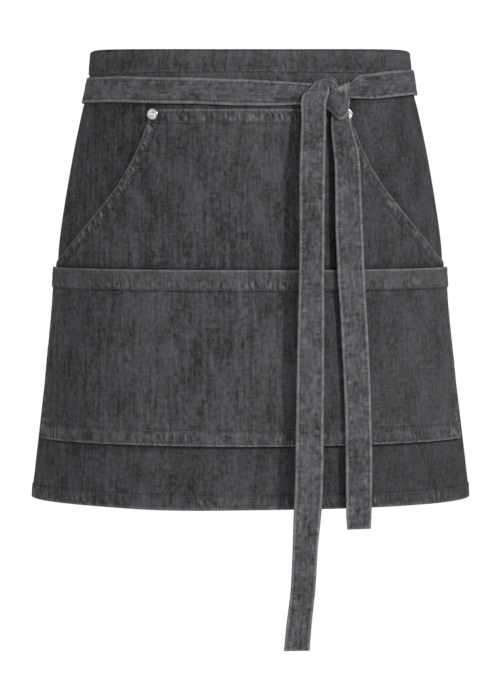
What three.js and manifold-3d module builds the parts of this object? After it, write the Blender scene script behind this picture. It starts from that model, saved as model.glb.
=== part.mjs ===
// Waist apron in washed denim: a wrapped panel with two pockets, held by two ties knotted in front.
// Millimetres. +Z is up, the front faces -Y, and the origin is the middle of the waist at tie height.
import * as THREE from 'three';
import { mergeVertices } from 'three/addons/utils/BufferGeometryUtils.js';
import Module from 'manifold-3d';

// Body form that the cloth follows: half sizes of its oval sections
const waistHalfWidth = 145.6;
const waistHalfDepth = 98;
const hemHalfWidth = 196;
const hemHalfDepth = 116;

// Panel
const topAboveTie = 34.4;
const topDip = 2.5;
const apronLength = 399;
const panelWrapAngle = 115;
const clothThickness = 1.2;
const hemDepth = 11;
const hemFullness = 1.1;

// Waistband folded over the panel's top edge
const waistbandDepth = 22;
const waistbandThickness = 0.9;

// Clearance between layers of cloth that lie on each other
const clothGap = 0.35;

// Hand pocket with two curved side openings
const handPocketDrop = 19.8;
const pocketClothThickness = 1.1;
const pocketTopAngle = 35;
const pocketSideAngle = 85;
const pocketFootAngle = 75;
const openingStartDrop = 30;
const openingEndDrop = 155;

// Lower pocket with a turned band at its mouth
const lowerPocketDrop = 158.4;
const pocketFootDrop = 310;
const mouthBandDepth = 18;
const mouthBandThickness = 2.3;
const mouthStandOff = 0.4;

// Ties
const tieWidth = 22.5;
const tieThickness = 1.8;
const tieSeamOverlap = 10;
const tieClearance = 0.4;
const tieCrossingClearance = 0.8;
const tieEase = 0.15;
const knotAcross = 75.5;
const longTailDrop = 484.4;
const shortTailDrop = 382.2;
const longTailStand = 9.5;
const shortTailStand = 2;

// Rivets
const rivetAngle = 33.5;
const rivetDrop = 24;
const rivetCapDiameter = 10.3;
const rivetCapHeight = 2.2;
const rivetPostDiameter = 3.6;
const rivetHoleClearance = 0.4;
const rivetWasherDiameter = 8;
const rivetWasherThickness = 0.8;

// Facets
const panelColumns = 46;
const pocketColumns = 34;
const rivetSides = 20;

// Finishes
const denim = { color: 0x46464a, roughness: 0.92, metalness: 0 };
const tieDenim = { color: 0x515155, roughness: 0.9, metalness: 0 };
const brightMetal = { color: 0xd6d7d9, roughness: 0.28, metalness: 1 };

const topHeight = topAboveTie;
const hemHeight = topHeight - apronLength;

// How the body widens from waist to hem: down is a share of the apron's length,
// flare a share of the way from the waist's size to the hem's
const flareRows = [
  { down: 0.0, flare: -0.079 },
  { down: 0.046, flare: -0.044 },
  { down: 0.086, flare: 0.0 },
  { down: 0.131, flare: 0.087 },
  { down: 0.222, flare: 0.244 },
  { down: 0.289, flare: 0.345 },
  { down: 0.334, flare: 0.405 },
  { down: 0.402, flare: 0.478 },
  { down: 0.447, flare: 0.512 },
  { down: 0.487, flare: 0.526 },
  { down: 0.56, flare: 0.58 },
  { down: 0.638, flare: 0.655 },
  { down: 0.713, flare: 0.738 },
  { down: 0.853, flare: 0.874 },
  { down: 0.963, flare: 0.976 },
  { down: 1.0, flare: 1.0 },
];

// Curve of a hand opening: down is a share of the opening's height,
// out a share of the way from the pocket's top corner to its side edge
const openingRows = [
  { down: 0.0, out: 0.0 },
  { down: 0.1, out: 0.028 },
  { down: 0.25, out: 0.078 },
  { down: 0.4, out: 0.152 },
  { down: 0.55, out: 0.262 },
  { down: 0.7, out: 0.412 },
  { down: 0.82, out: 0.568 },
  { down: 0.92, out: 0.746 },
  { down: 1.0, out: 1.0 },
];

const radians = (degrees) => (degrees * Math.PI) / 180;
const lerp = (a, b, t) => a + (b - a) * t;

// Value of column `value` at `at` in column `key` of a table sorted by that column
function lookUp(rows, key, value, at) {
  if (at <= rows[0][key]) return rows[0][value];
  for (let i = 1; i < rows.length; i += 1) {
    if (at <= rows[i][key]) {
      const t = (at - rows[i - 1][key]) / (rows[i][key] - rows[i - 1][key]);
      return lerp(rows[i - 1][value], rows[i][value], t);
    }
  }
  return rows[rows.length - 1][value];
}

const flareAt = (z) => lookUp(flareRows, 'down', 'flare', (topHeight - z) / apronLength);
const halfWidthAt = (z) => lerp(waistHalfWidth, hemHalfWidth, flareAt(z));
const halfDepthAt = (z) => lerp(waistHalfDepth, hemHalfDepth, flareAt(z));

// Point at an angle round the body (0 in front, positive towards +X), `out` outside the panel's face
function onBody(angle, z, out) {
  const a = radians(angle);
  return new THREE.Vector3((halfWidthAt(z) + out) * Math.sin(a), -(halfDepthAt(z) + out) * Math.cos(a), z);
}

// Angle round the front of the body of a point `across` the middle
function angleAt(across, z, out) {
  const share = Math.max(-0.999, Math.min(0.999, across / (halfWidthAt(z) + out)));
  return (Math.asin(share) * 180) / Math.PI;
}
const inFront = (across, z, out) => onBody(angleAt(across, z, out), z, out);

// Closed body through rings of points: each ring is a list of the same number of points
function skin(rings) {
  const count = rings[0].length;
  const positions = rings.flat().flatMap((p) => [p.x, p.y, p.z]);
  const index = [];
  for (let r = 0; r + 1 < rings.length; r += 1) {
    for (let i = 0; i < count; i += 1) {
      const a = r * count + i;
      const b = r * count + ((i + 1) % count);
      index.push(a, b, a + count, b, b + count, a + count);
    }
  }
  const last = (rings.length - 1) * count;
  for (const [first, flip] of [[0, true], [last, false]]) {
    for (const [a, b, c] of capTriangles(count)) {
      if (flip) index.push(first + a, first + c, first + b);
      else index.push(first + a, first + b, first + c);
    }
  }
  const geometry = new THREE.BufferGeometry();
  geometry.setAttribute('position', new THREE.Float32BufferAttribute(positions, 3));
  geometry.setIndex(index);
  return facingOut(geometry);
}

// Ladder of triangles across a ring whose second half runs back beside its first
function capTriangles(count) {
  const triangles = [];
  for (let i = 0; i + 1 < count / 2; i += 1) {
    const j = count - 1 - i;
    triangles.push([i, i + 1, j], [i + 1, j - 1, j]);
  }
  return triangles;
}

// Turns every triangle round if the body's volume comes out negative
function facingOut(geometry) {
  const p = geometry.attributes.position;
  const index = geometry.index.array;
  const [a, b, c] = [new THREE.Vector3(), new THREE.Vector3(), new THREE.Vector3()];
  let volume = 0;
  for (let i = 0; i < index.length; i += 3) {
    a.fromBufferAttribute(p, index[i]);
    b.fromBufferAttribute(p, index[i + 1]);
    c.fromBufferAttribute(p, index[i + 2]);
    volume += a.dot(b.clone().cross(c));
  }
  if (volume < 0) {
    for (let i = 0; i < index.length; i += 3) {
      [index[i + 1], index[i + 2]] = [index[i + 2], index[i + 1]];
    }
  }
  return geometry;
}

// Heights from `top` to `foot`, with every flare row between them and the extra ones given
function heightsBetween(top, foot, extra = []) {
  const levels = flareRows.map((row) => topHeight - row.down * apronLength);
  const minimumStep = 2;
  const inside = levels.filter((z) => z < top - minimumStep && z > foot + minimumStep);
  const free = inside.filter((z) => extra.every((other) => Math.abs(other - z) > minimumStep));
  return [top, foot, ...extra, ...free].sort((a, b) => b - a);
}

// Cloth wall bent round the body. Each row gives a height, the angle of its side edges,
// the offsets of its inner and outer face, and how far its middle dips
function clothWall(rows, columns) {
  const rings = [];
  for (let i = 0; i <= columns; i += 1) {
    const share = (2 * i) / columns - 1;
    const point = (row, out) => {
      const angle = row.side * share;
      const dip = (row.dip ?? 0) * Math.cos(radians(angle)) ** 2;
      return onBody(angle, row.z - dip, out);
    };
    const outer = rows.map((row) => point(row, row.outer));
    const inner = rows.map((row) => point(row, row.inner)).reverse();
    rings.push([...outer, ...inner]);
  }
  return skin(rings);
}

// Library for the boolean cuts
const wasm = await Module();
wasm.setup();

function toSolid(geometry) {
  const bare = geometry.clone();
  bare.deleteAttribute('normal');
  bare.deleteAttribute('uv');
  const merged = mergeVertices(bare.index ? bare : bare.toNonIndexed(), 1e-4);
  return new wasm.Manifold(
    new wasm.Mesh({
      numProp: 3,
      vertProperties: new Float32Array(merged.attributes.position.array),
      triVerts: new Uint32Array(merged.index.array),
    }),
  );
}

function toGeometry(solid) {
  const mesh = solid.getMesh();
  const geometry = new THREE.BufferGeometry();
  geometry.setAttribute('position', new THREE.BufferAttribute(mesh.vertProperties, 3));
  geometry.setIndex(new THREE.BufferAttribute(mesh.triVerts, 1));
  return geometry;
}

// Place and axis of a rivet: its middle on the panel's face, pointing straight out of the cloth
function rivetFrame(side) {
  const angle = side * rivetAngle;
  const z = -rivetDrop;
  const step = 1;
  const centre = onBody(angle, z, 0);
  const across = onBody(angle + step, z, 0).sub(onBody(angle - step, z, 0));
  const up = onBody(angle, z + step, 0).sub(onBody(angle, z - step, 0));
  const outward = across.cross(up).normalize();
  const turn = new THREE.Quaternion().setFromUnitVectors(new THREE.Vector3(0, 1, 0), outward);
  return { centre, turn };
}

// Domed cap with a ring groove, a post through both layers and a washer behind them
function rivetGeometry() {
  const front = clothGap + pocketClothThickness + clothGap;
  const back = -clothThickness - clothGap;
  const cap = rivetCapDiameter / 2;
  const profile = [
    [0, back - rivetWasherThickness],
    [rivetWasherDiameter / 2, back - rivetWasherThickness],
    [rivetWasherDiameter / 2, back],
    [rivetPostDiameter / 2, back],
    [rivetPostDiameter / 2, front],
    [cap * 0.94, front],
    [cap, front + rivetCapHeight * 0.3],
    [cap * 0.9, front + rivetCapHeight * 0.7],
    [cap * 0.62, front + rivetCapHeight * 0.94],
    [cap * 0.46, front + rivetCapHeight * 0.72],
    [cap * 0.26, front + rivetCapHeight * 0.82],
    [0, front + rivetCapHeight],
  ];
  return new THREE.LatheGeometry(profile.map(([r, h]) => new THREE.Vector2(r, h)), rivetSides);
}

function rivetHole(side) {
  const { centre, turn } = rivetFrame(side);
  const hole = new THREE.CylinderGeometry(
    rivetPostDiameter / 2 + rivetHoleClearance,
    rivetPostDiameter / 2 + rivetHoleClearance,
    rivetCapDiameter,
    rivetSides,
  );
  hole.applyQuaternion(turn);
  hole.translate(centre.x, centre.y, centre.z);
  return toSolid(hole);
}

const rivetSidesOfApron = [-1, 1];
const withRivetHoles = (geometry) =>
  toGeometry(rivetSidesOfApron.reduce((solid, side) => solid.subtract(rivetHole(side)), toSolid(geometry)));

function apronPanel() {
  const tuck = waistbandThickness + clothGap;
  const hemTop = hemHeight + hemDepth;
  const hemStep = 1.5;
  const heights = heightsBetween(topHeight - tuck, hemHeight, [hemTop + hemStep, hemTop]);
  const rows = heights.map((z) => {
    const full = z <= hemTop ? hemFullness : 0;
    const nearTop = Math.max(0, 1 - (topHeight - z) / waistbandDepth);
    return { z, side: panelWrapAngle, inner: -clothThickness - full / 2, outer: full, dip: topDip * nearTop };
  });
  return withRivetHoles(clothWall(rows, panelColumns));
}

// The waistband's section goes up the outside of the panel, over its top edge and down the inside
function waistband() {
  const foot = topHeight - waistbandDepth;
  const outer = clothGap + waistbandThickness;
  const inner = -clothThickness - outer;
  const middle = flareRows[1].down * apronLength;
  const levels = [topHeight, topHeight - middle, foot];
  const dipAt = (z) => topDip * Math.max(0, 1 - (topHeight - z) / waistbandDepth);
  const rings = [];
  for (let i = 0; i <= panelColumns; i += 1) {
    const angle = panelWrapAngle * ((2 * i) / panelColumns - 1);
    const point = (z, out) => onBody(angle, z - dipAt(z) * Math.cos(radians(angle)) ** 2, out);
    const under = topHeight - waistbandThickness;
    const outside = [...levels.map((z) => point(z, outer)).reverse(), ...levels.map((z) => point(z, inner))];
    const insideLevels = [under, levels[1], foot];
    const inside = [
      ...insideLevels.map((z) => point(z, clothGap)).reverse(),
      ...insideLevels.map((z) => point(z, -clothThickness - clothGap)),
    ];
    rings.push([...outside, ...inside.reverse()]);
  }
  return skin(rings);
}

// Angle of the hand pocket's side edge: straight at the top corner, then out along the curved
// opening, then in a little towards the foot
function pocketSideAt(z) {
  const drop = -z;
  if (drop <= openingEndDrop) {
    const share = (drop - openingStartDrop) / (openingEndDrop - openingStartDrop);
    return lerp(pocketTopAngle, pocketSideAngle, lookUp(openingRows, 'down', 'out', share));
  }
  return lerp(pocketSideAngle, pocketFootAngle, (drop - openingEndDrop) / (pocketFootDrop - openingEndDrop));
}

// Solid outside the pockets' side edges, from above the hand pocket to below its foot
function sideTrim(side) {
  const margin = 6;
  const farAngle = 105;
  const columns = 8;
  const openings = openingRows.map((row) => -lerp(openingStartDrop, openingEndDrop, row.down));
  const heights = [-handPocketDrop + margin, ...openings, -pocketFootDrop - margin];
  const rings = [];
  for (let i = 0; i <= columns; i += 1) {
    const point = (z, out) => onBody(side * lerp(pocketSideAt(z), farAngle, i / columns), z, out);
    rings.push([...heights.map((z) => point(z, margin)), ...heights.map((z) => point(z, -margin)).reverse()]);
  }
  return toSolid(skin(rings));
}

const withTrimmedSides = (geometry) =>
  toGeometry([-1, 1].reduce((solid, side) => solid.subtract(sideTrim(side)), toSolid(geometry)));

function handPocket() {
  const rows = heightsBetween(-handPocketDrop, -pocketFootDrop).map((z) => ({
    z,
    side: pocketSideAngle,
    inner: clothGap,
    outer: clothGap + pocketClothThickness,
  }));
  return withRivetHoles(withTrimmedSides(clothWall(rows, pocketColumns)));
}

function lowerPocket() {
  const bandFoot = -lowerPocketDrop - mouthBandDepth;
  const bandStep = 2.5;
  const settled = 14;
  const extra = [bandFoot, bandFoot - bandStep, bandFoot - settled];
  const onHandPocket = 2 * clothGap + pocketClothThickness;
  const heights = heightsBetween(-lowerPocketDrop, -pocketFootDrop, extra);
  const rows = heights.map((z) => {
    const stand = mouthStandOff * Math.max(0, Math.min(1, (z - bandFoot + settled) / settled));
    const wall = z >= bandFoot ? mouthBandThickness : pocketClothThickness;
    const inner = onHandPocket + stand;
    return { z, side: pocketSideAngle, inner, outer: inner + wall };
  });
  return withTrimmedSides(clothWall(rows, pocketColumns));
}

// Tie: rings of four corners through stations. A station gives the two edges of the strap as
// (across, height) or (angle, height), the offset of its middle plane at each edge, and its lean:
// 0 with its right side out, 180 turned over
function strap(stations) {
  const half = tieThickness / 2;
  const rings = stations.map((s) => {
    const cos = Math.cos(radians(s.lean ?? 0));
    const sin = Math.sin(radians(s.lean ?? 0));
    const along = new THREE.Vector2(s.b.x - s.a.x, s.b.z - s.a.z).normalize();
    const rise = { x: -along.y * sin * half, z: along.x * sin * half };
    const corner = (edge, sign) => {
      const out = edge.mid + sign * cos * half;
      const z = edge.z + sign * rise.z;
      if (s.round) return onBody(edge.angle, z, out);
      return inFront(edge.x + sign * rise.x, z, out);
    };
    return [corner(s.a, 1), corner(s.b, 1), corner(s.b, -1), corner(s.a, -1)];
  });
  return skin(rings);
}

const sewnMid = clothGap + tieThickness / 2;
const runMid = sewnMid + tieEase;
const layerStep = tieThickness + tieClearance;
const overSewnMid = sewnMid + tieThickness + tieCrossingClearance;
const overBandMid = 2 * clothGap + waistbandThickness + tieThickness / 2;

// Runs of the ties round the waist, from the sewn end to the knot: angle in degrees, height as a
// share of the tie's width, and the offset of the middle plane
const sewnAngle = panelWrapAngle - tieSeamOverlap / 2;
const pastEnd = 4;
const knotJoin = 1.35;
const knotJoinAngle = angleAt(knotAcross + knotJoin * tieWidth, 0, sewnMid);
const shortRun = [
  { angle: sewnAngle, height: 0, mid: sewnMid },
  { angle: panelWrapAngle + 1, height: 0, mid: sewnMid },
  { angle: 140, height: -0.56, mid: sewnMid },
  { angle: 195, height: -0.56, mid: sewnMid },
  { angle: 218, height: -0.56, mid: overSewnMid },
  { angle: 360 - panelWrapAngle - pastEnd, height: -0.17, mid: overSewnMid },
  { angle: 360 - sewnAngle + pastEnd, height: -0.06, mid: overSewnMid },
  { angle: 274, height: -0.04, mid: runMid },
  { angle: 303, height: -0.06, mid: runMid },
  { angle: 336, height: -0.16, mid: runMid },
  { angle: 360, height: -0.25, mid: runMid },
];
const longRun = [
  { angle: 360 - sewnAngle, height: 0, mid: sewnMid },
  { angle: 359 - panelWrapAngle, height: 0, mid: sewnMid },
  { angle: 220, height: 0.56, mid: sewnMid },
  { angle: 165, height: 0.56, mid: sewnMid },
  { angle: 142, height: 0.56, mid: overSewnMid },
  { angle: panelWrapAngle + pastEnd, height: 0.4, mid: overSewnMid },
  { angle: sewnAngle - pastEnd, height: 0.3, mid: overSewnMid },
  { angle: 90, height: 0.26, mid: overBandMid },
  { angle: 76, height: 0.26, mid: overBandMid },
  { angle: 60, height: 0.17, mid: overBandMid },
  { angle: knotJoinAngle + pastEnd, height: 0.07, mid: overBandMid },
];

// Stations every few degrees along a run
function runStations(run) {
  const stepAngle = 5;
  const stations = [];
  for (let i = 0; i + 1 < run.length; i += 1) {
    const steps = Math.max(1, Math.round(Math.abs(run[i + 1].angle - run[i].angle) / stepAngle));
    const last = i + 2 === run.length ? steps : steps - 1;
    for (let k = 0; k <= last; k += 1) {
      const t = k / steps;
      const eased = t * t * (3 - 2 * t);
      const angle = lerp(run[i].angle, run[i + 1].angle, t);
      const height = lerp(run[i].height, run[i + 1].height, eased) * tieWidth;
      const mid = lerp(run[i].mid, run[i + 1].mid, eased);
      const edge = (side) => ({ angle, x: 0, z: height + (side * tieWidth) / 2, mid });
      stations.push({ a: edge(1), b: edge(-1), round: true });
    }
  }
  return stations;
}

// Stations of the knot and the tails. Edges a and b are measured from the knot point in tie widths;
// layerA and layerB count the layers of cloth out from the panel, and hang is the share of the tail's
// stand-off that a station already has
const knotMid = (layer) => runMid + layer * layerStep;
const knotEdge = (across, height, layer, stand) => ({
  x: knotAcross + across * tieWidth,
  z: height * tieWidth,
  mid: knotMid(layer) + stand,
});
const knotStations = (rows, tailStand) =>
  rows.map((r) => {
    const stand = (r.hang ?? 0) * tailStand;
    return {
      a: knotEdge(r.ax, r.az, r.layerA, stand),
      b: knotEdge(r.bx, r.bz, r.layerB ?? r.layerA, stand),
      lean: r.lean ?? 0,
    };
  });

// Short tie: in behind the long tail, up in front of the long tie, over its top and down behind it
const shortKnot = [
  { ax: -2.4, az: 0.2, bx: -2.4, bz: -0.75, layerA: 0 },
  { ax: -1.4, az: 0.14, bx: -1.4, bz: -0.7, layerA: 0 },
  { ax: -0.87, az: 0.09, bx: -0.87, bz: -0.78, layerA: 0 },
  { ax: -0.52, az: -0.01, bx: -0.52, bz: -0.82, layerA: 0.05, layerB: 0.7 },
  { ax: -0.26, az: -0.11, bx: -0.28, bz: -1.0, layerA: 1.95 },
  { ax: -0.06, az: -0.12, bx: -0.08, bz: -1.22, layerA: 2.15, layerB: 2.6 },
  { ax: 0.01, az: -0.11, bx: 0.2, bz: -1.25, layerA: 2.15, layerB: 2.9 },
  { ax: 0.03, az: -0.1, bx: 0.47, bz: -0.98, layerA: 2.15, layerB: 2.9 },
  { ax: 0.03, az: -0.08, bx: 0.55, bz: -0.5, layerA: 2.15, layerB: 2.6 },
  { ax: 0.0, az: -0.03, bx: 0.55, bz: 0.2, layerA: 2.05 },
];

// The fold over the long tie: a half turn round a line across the strap
const foldLine = { ax: 0.0, az: -0.03, bx: 0.55, bz: 0.2 };
const foldRise = 0.1;
const foldReach = 1.05;
const shortFold = [45, 90, 135].map((lean) => {
  const rise = Math.sin(radians(lean)) * foldRise;
  return {
    ax: foldLine.ax - rise / 2,
    az: foldLine.az + rise,
    bx: foldLine.bx - rise / 2,
    bz: foldLine.bz + rise,
    lean,
    layerA: 1 + foldReach * Math.cos(radians(lean)),
  };
});
const shortReturn = [
  { ax: 0.0, az: -0.06, bx: 0.55, bz: 0.17, layerA: 0, lean: 180 },
  { ax: -0.02, az: -0.52, bx: 0.54, bz: -0.5, layerA: 0, lean: 180 },
  { ax: 0.0, az: -0.66, bx: 0.52, bz: -0.65, layerA: 0.7, lean: 180 },
  { ax: 0.0, az: -0.8, bx: 0.49, bz: -0.8, layerA: 1.75, lean: 180 },
  { ax: -0.02, az: -1.1, bx: 0.48, bz: -1.08, layerA: 1.8, lean: 180 },
];

// Long tie: in from the right, gathered through the short tie's loop, then turned down over it
const longKnot = [
  { ax: knotJoin, az: 0.53, bx: knotJoin, bz: -0.46, layerA: 0.6 },
  { ax: 1.0, az: 0.47, bx: 1.0, bz: -0.45, layerA: 0.1 },
  { ax: 0.76, az: 0.3, bx: 0.74, bz: -0.45, layerA: 0.85 },
  { ax: 0.55, az: 0.1, bx: 0.5, bz: -0.44, layerA: 1 },
  { ax: 0.3, az: -0.03, bx: 0.24, bz: -0.42, layerA: 1 },
  { ax: 0.05, az: -0.09, bx: 0.0, bz: -0.4, layerA: 1 },
  { ax: -0.12, az: 0.12, bx: -0.16, bz: -0.22, layerA: 1 },
  { ax: -0.2, az: 0.27, bx: -0.23, bz: -0.02, layerA: 1.3 },
  { ax: -0.42, az: 0.3, bx: -0.27, bz: -0.03, layerA: 1.9, layerB: 2.6 },
  { ax: -0.75, az: 0.25, bx: -0.3, bz: -0.08, layerA: 1.6, layerB: 2.9 },
  { ax: -1.0, az: -0.05, bx: -0.33, bz: -0.2, layerA: 1.2, layerB: 2.9, hang: 0.05 },
  { ax: -1.28, az: -0.38, bx: -0.38, bz: -0.4, layerA: 1.1, layerB: 2.8, hang: 0.2 },
  { ax: -1.4, az: -0.72, bx: -0.43, bz: -0.68, layerA: 1.1, layerB: 2.4, hang: 0.48 },
];

// Tails below the knot: drop is a share of the tail's length under the knot, across the place of its
// middle from the knot point and wide its width, both in tie widths; a and b are layers at its edges
// and hang is the share of its stand-off, all of it where none is given
const longTailStart = 0.6;
const shortTailStart = 1.0;
const longTail = [
  { drop: 0.03, across: -0.92, wide: 0.95, a: 1.2, b: 2.2, hang: 0.86 },
  { drop: 0.125, across: -0.98, wide: 0.98, a: 1.7, b: 2.2 },
  { drop: 0.22, across: -1.0, wide: 0.95, a: 2.0, b: 2.3 },
  { drop: 0.305, across: -1.01, wide: 0.95, a: 2.3, b: 2.5 },
  { drop: 0.4, across: -1.03, wide: 1.0, a: 2.2, b: 2.4 },
  { drop: 0.48, across: -1.05, wide: 1.04, a: 1.8, b: 2.2 },
  { drop: 0.6, across: -1.08, wide: 1.06, a: 1.6, b: 1.9 },
  { drop: 0.7, across: -1.11, wide: 1.07, a: 1.5, b: 1.8 },
  { drop: 0.755, across: -1.17, wide: 1.06, a: 1.5, b: 1.8 },
  { drop: 0.805, across: -1.24, wide: 0.98, a: 1.4, b: 2.1 },
  { drop: 0.885, across: -1.33, wide: 0.95, a: 1.5, b: 2.2 },
  { drop: 0.955, across: -1.49, wide: 0.97, a: 1.6, b: 2.0 },
  { drop: 1.0, across: -1.57, wide: 0.99, a: 1.7, b: 2.0 },
];
const shortTail = [
  { drop: 0.04, across: 0.24, wide: 0.76, a: 1.9, b: 1.8, hang: 0.3 },
  { drop: 0.065, across: 0.27, wide: 0.88, a: 1.7, b: 1.6, hang: 0.6 },
  { drop: 0.11, across: 0.36, wide: 0.99, a: 1.5, b: 1.3 },
  { drop: 0.18, across: 0.41, wide: 1.02, a: 1.7, b: 1.3 },
  { drop: 0.3, across: 0.46, wide: 1.06, a: 2.0, b: 1.6 },
  { drop: 0.395, across: 0.52, wide: 1.04, a: 2.4, b: 2.2 },
  { drop: 0.5, across: 0.63, wide: 1.02, a: 1.9, b: 1.8 },
  { drop: 0.7, across: 0.79, wide: 1.02, a: 1.7, b: 1.6 },
  { drop: 0.81, across: 0.83, wide: 1.03, a: 1.6, b: 1.5 },
  { drop: 0.95, across: 0.83, wide: 0.99, a: 1.6, b: 1.5 },
  { drop: 1.0, across: 0.84, wide: 0.92, a: 1.6, b: 1.5 },
];
function tailStations(rows, startDrop, endDrop, lean, tailStand) {
  return rows.map((r) => {
    const height = -lerp(startDrop, endDrop, r.drop) / tieWidth;
    const stand = (r.hang ?? 1) * tailStand;
    return {
      a: knotEdge(r.across - r.wide / 2, height, r.a, stand),
      b: knotEdge(r.across + r.wide / 2, height, r.b, stand),
      lean,
    };
  });
}

function shortTie() {
  const knot = knotStations([...shortKnot, ...shortFold, ...shortReturn], shortTailStand);
  const tail = tailStations(shortTail, shortTailStart * tieWidth, shortTailDrop, 180, shortTailStand);
  return strap([...runStations(shortRun), ...knot, ...tail]);
}

function longTie() {
  const knot = knotStations(longKnot, longTailStand);
  const tail = tailStations(longTail, longTailStart * tieWidth, longTailDrop, 0, longTailStand);
  return strap([...runStations(longRun), ...knot, ...tail]);
}

const apron = new THREE.Group();
function addPiece(name, geometry, finish) {
  const mesh = new THREE.Mesh(geometry, new THREE.MeshStandardMaterial(finish));
  mesh.name = name;
  apron.add(mesh);
  return mesh;
}

addPiece('apron_panel', apronPanel(), denim);
addPiece('waistband', waistband(), denim);
addPiece('hand_pocket', handPocket(), denim);
addPiece('lower_pocket', lowerPocket(), denim);
addPiece('tie_short', shortTie(), tieDenim);
addPiece('tie_long', longTie(), tieDenim);
for (const side of rivetSidesOfApron) {
  const { centre, turn } = rivetFrame(side);
  const rivet = addPiece(side < 0 ? 'rivet_left' : 'rivet_right', rivetGeometry(), brightMetal);
  rivet.position.copy(centre);
  rivet.quaternion.copy(turn);
}

export default apron;
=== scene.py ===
"""Waist apron in washed grey denim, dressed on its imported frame: panel, waistband, two pockets, two ties.

Metres. +Z is up, the front faces -Y, and the origin is the middle of the waist at tie height.
Angles go round the body: 0 is in front and they grow towards +X.
"""
import math

import bpy
import numpy as np
from bpy.props import FloatProperty, FloatVectorProperty, IntProperty, PointerProperty
from bpy.types import Operator, Panel, PropertyGroup
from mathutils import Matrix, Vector


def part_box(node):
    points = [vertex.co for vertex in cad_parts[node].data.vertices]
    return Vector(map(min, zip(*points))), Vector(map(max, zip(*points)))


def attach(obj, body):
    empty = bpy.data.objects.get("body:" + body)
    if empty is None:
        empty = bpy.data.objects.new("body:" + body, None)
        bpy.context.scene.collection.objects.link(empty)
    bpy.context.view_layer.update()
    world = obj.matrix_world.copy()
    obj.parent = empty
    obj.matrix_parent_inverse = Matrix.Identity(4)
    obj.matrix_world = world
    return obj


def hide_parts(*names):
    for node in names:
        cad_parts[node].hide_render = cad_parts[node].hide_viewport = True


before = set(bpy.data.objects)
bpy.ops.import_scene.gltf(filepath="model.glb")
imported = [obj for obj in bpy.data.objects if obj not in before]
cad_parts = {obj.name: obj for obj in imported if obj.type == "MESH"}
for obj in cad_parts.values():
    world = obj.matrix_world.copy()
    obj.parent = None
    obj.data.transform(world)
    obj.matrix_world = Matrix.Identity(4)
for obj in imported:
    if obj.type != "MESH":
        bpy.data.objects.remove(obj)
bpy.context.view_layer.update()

bl_info = {
    "name": "Waist apron",
    "version": (1, 0, 0),
    "blender": (4, 5, 0),
    "location": "View3D > Sidebar > Apron",
    "description": "Builds a waist apron in washed denim with two pockets and knotted ties",
    "category": "Add Mesh",
}

MM = 0.001
PANEL_LOW, PANEL_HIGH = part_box("apron_panel")
BAND_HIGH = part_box("waistband")[1]
HAND_POCKET_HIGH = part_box("hand_pocket")[1]
LOWER_POCKET_LOW, LOWER_POCKET_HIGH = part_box("lower_pocket")
LONG_TIE_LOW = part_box("tie_long")[0]
SHORT_TIE_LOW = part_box("tie_short")[0]

# How much the solid's hem stands outside the body form
HEM_FULLNESS = 1.1 * MM

# How the body widens from waist to hem: share of the apron's length, share of the widening
FLARE_ROWS = [
    (0.0, -0.079), (0.046, -0.044), (0.086, 0.0), (0.131, 0.087), (0.222, 0.244), (0.289, 0.345),
    (0.334, 0.405), (0.402, 0.478), (0.447, 0.512), (0.487, 0.526), (0.56, 0.58), (0.638, 0.655),
    (0.713, 0.738), (0.853, 0.874), (0.963, 0.976), (1.0, 1.0),
]

# Curve of a hand opening: share of its height, share of the way out to the pocket's side
OPENING_ROWS = [
    (0.0, 0.0), (0.1, 0.028), (0.25, 0.078), (0.4, 0.152), (0.55, 0.262),
    (0.7, 0.412), (0.82, 0.568), (0.92, 0.746), (1.0, 1.0),
]


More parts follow.
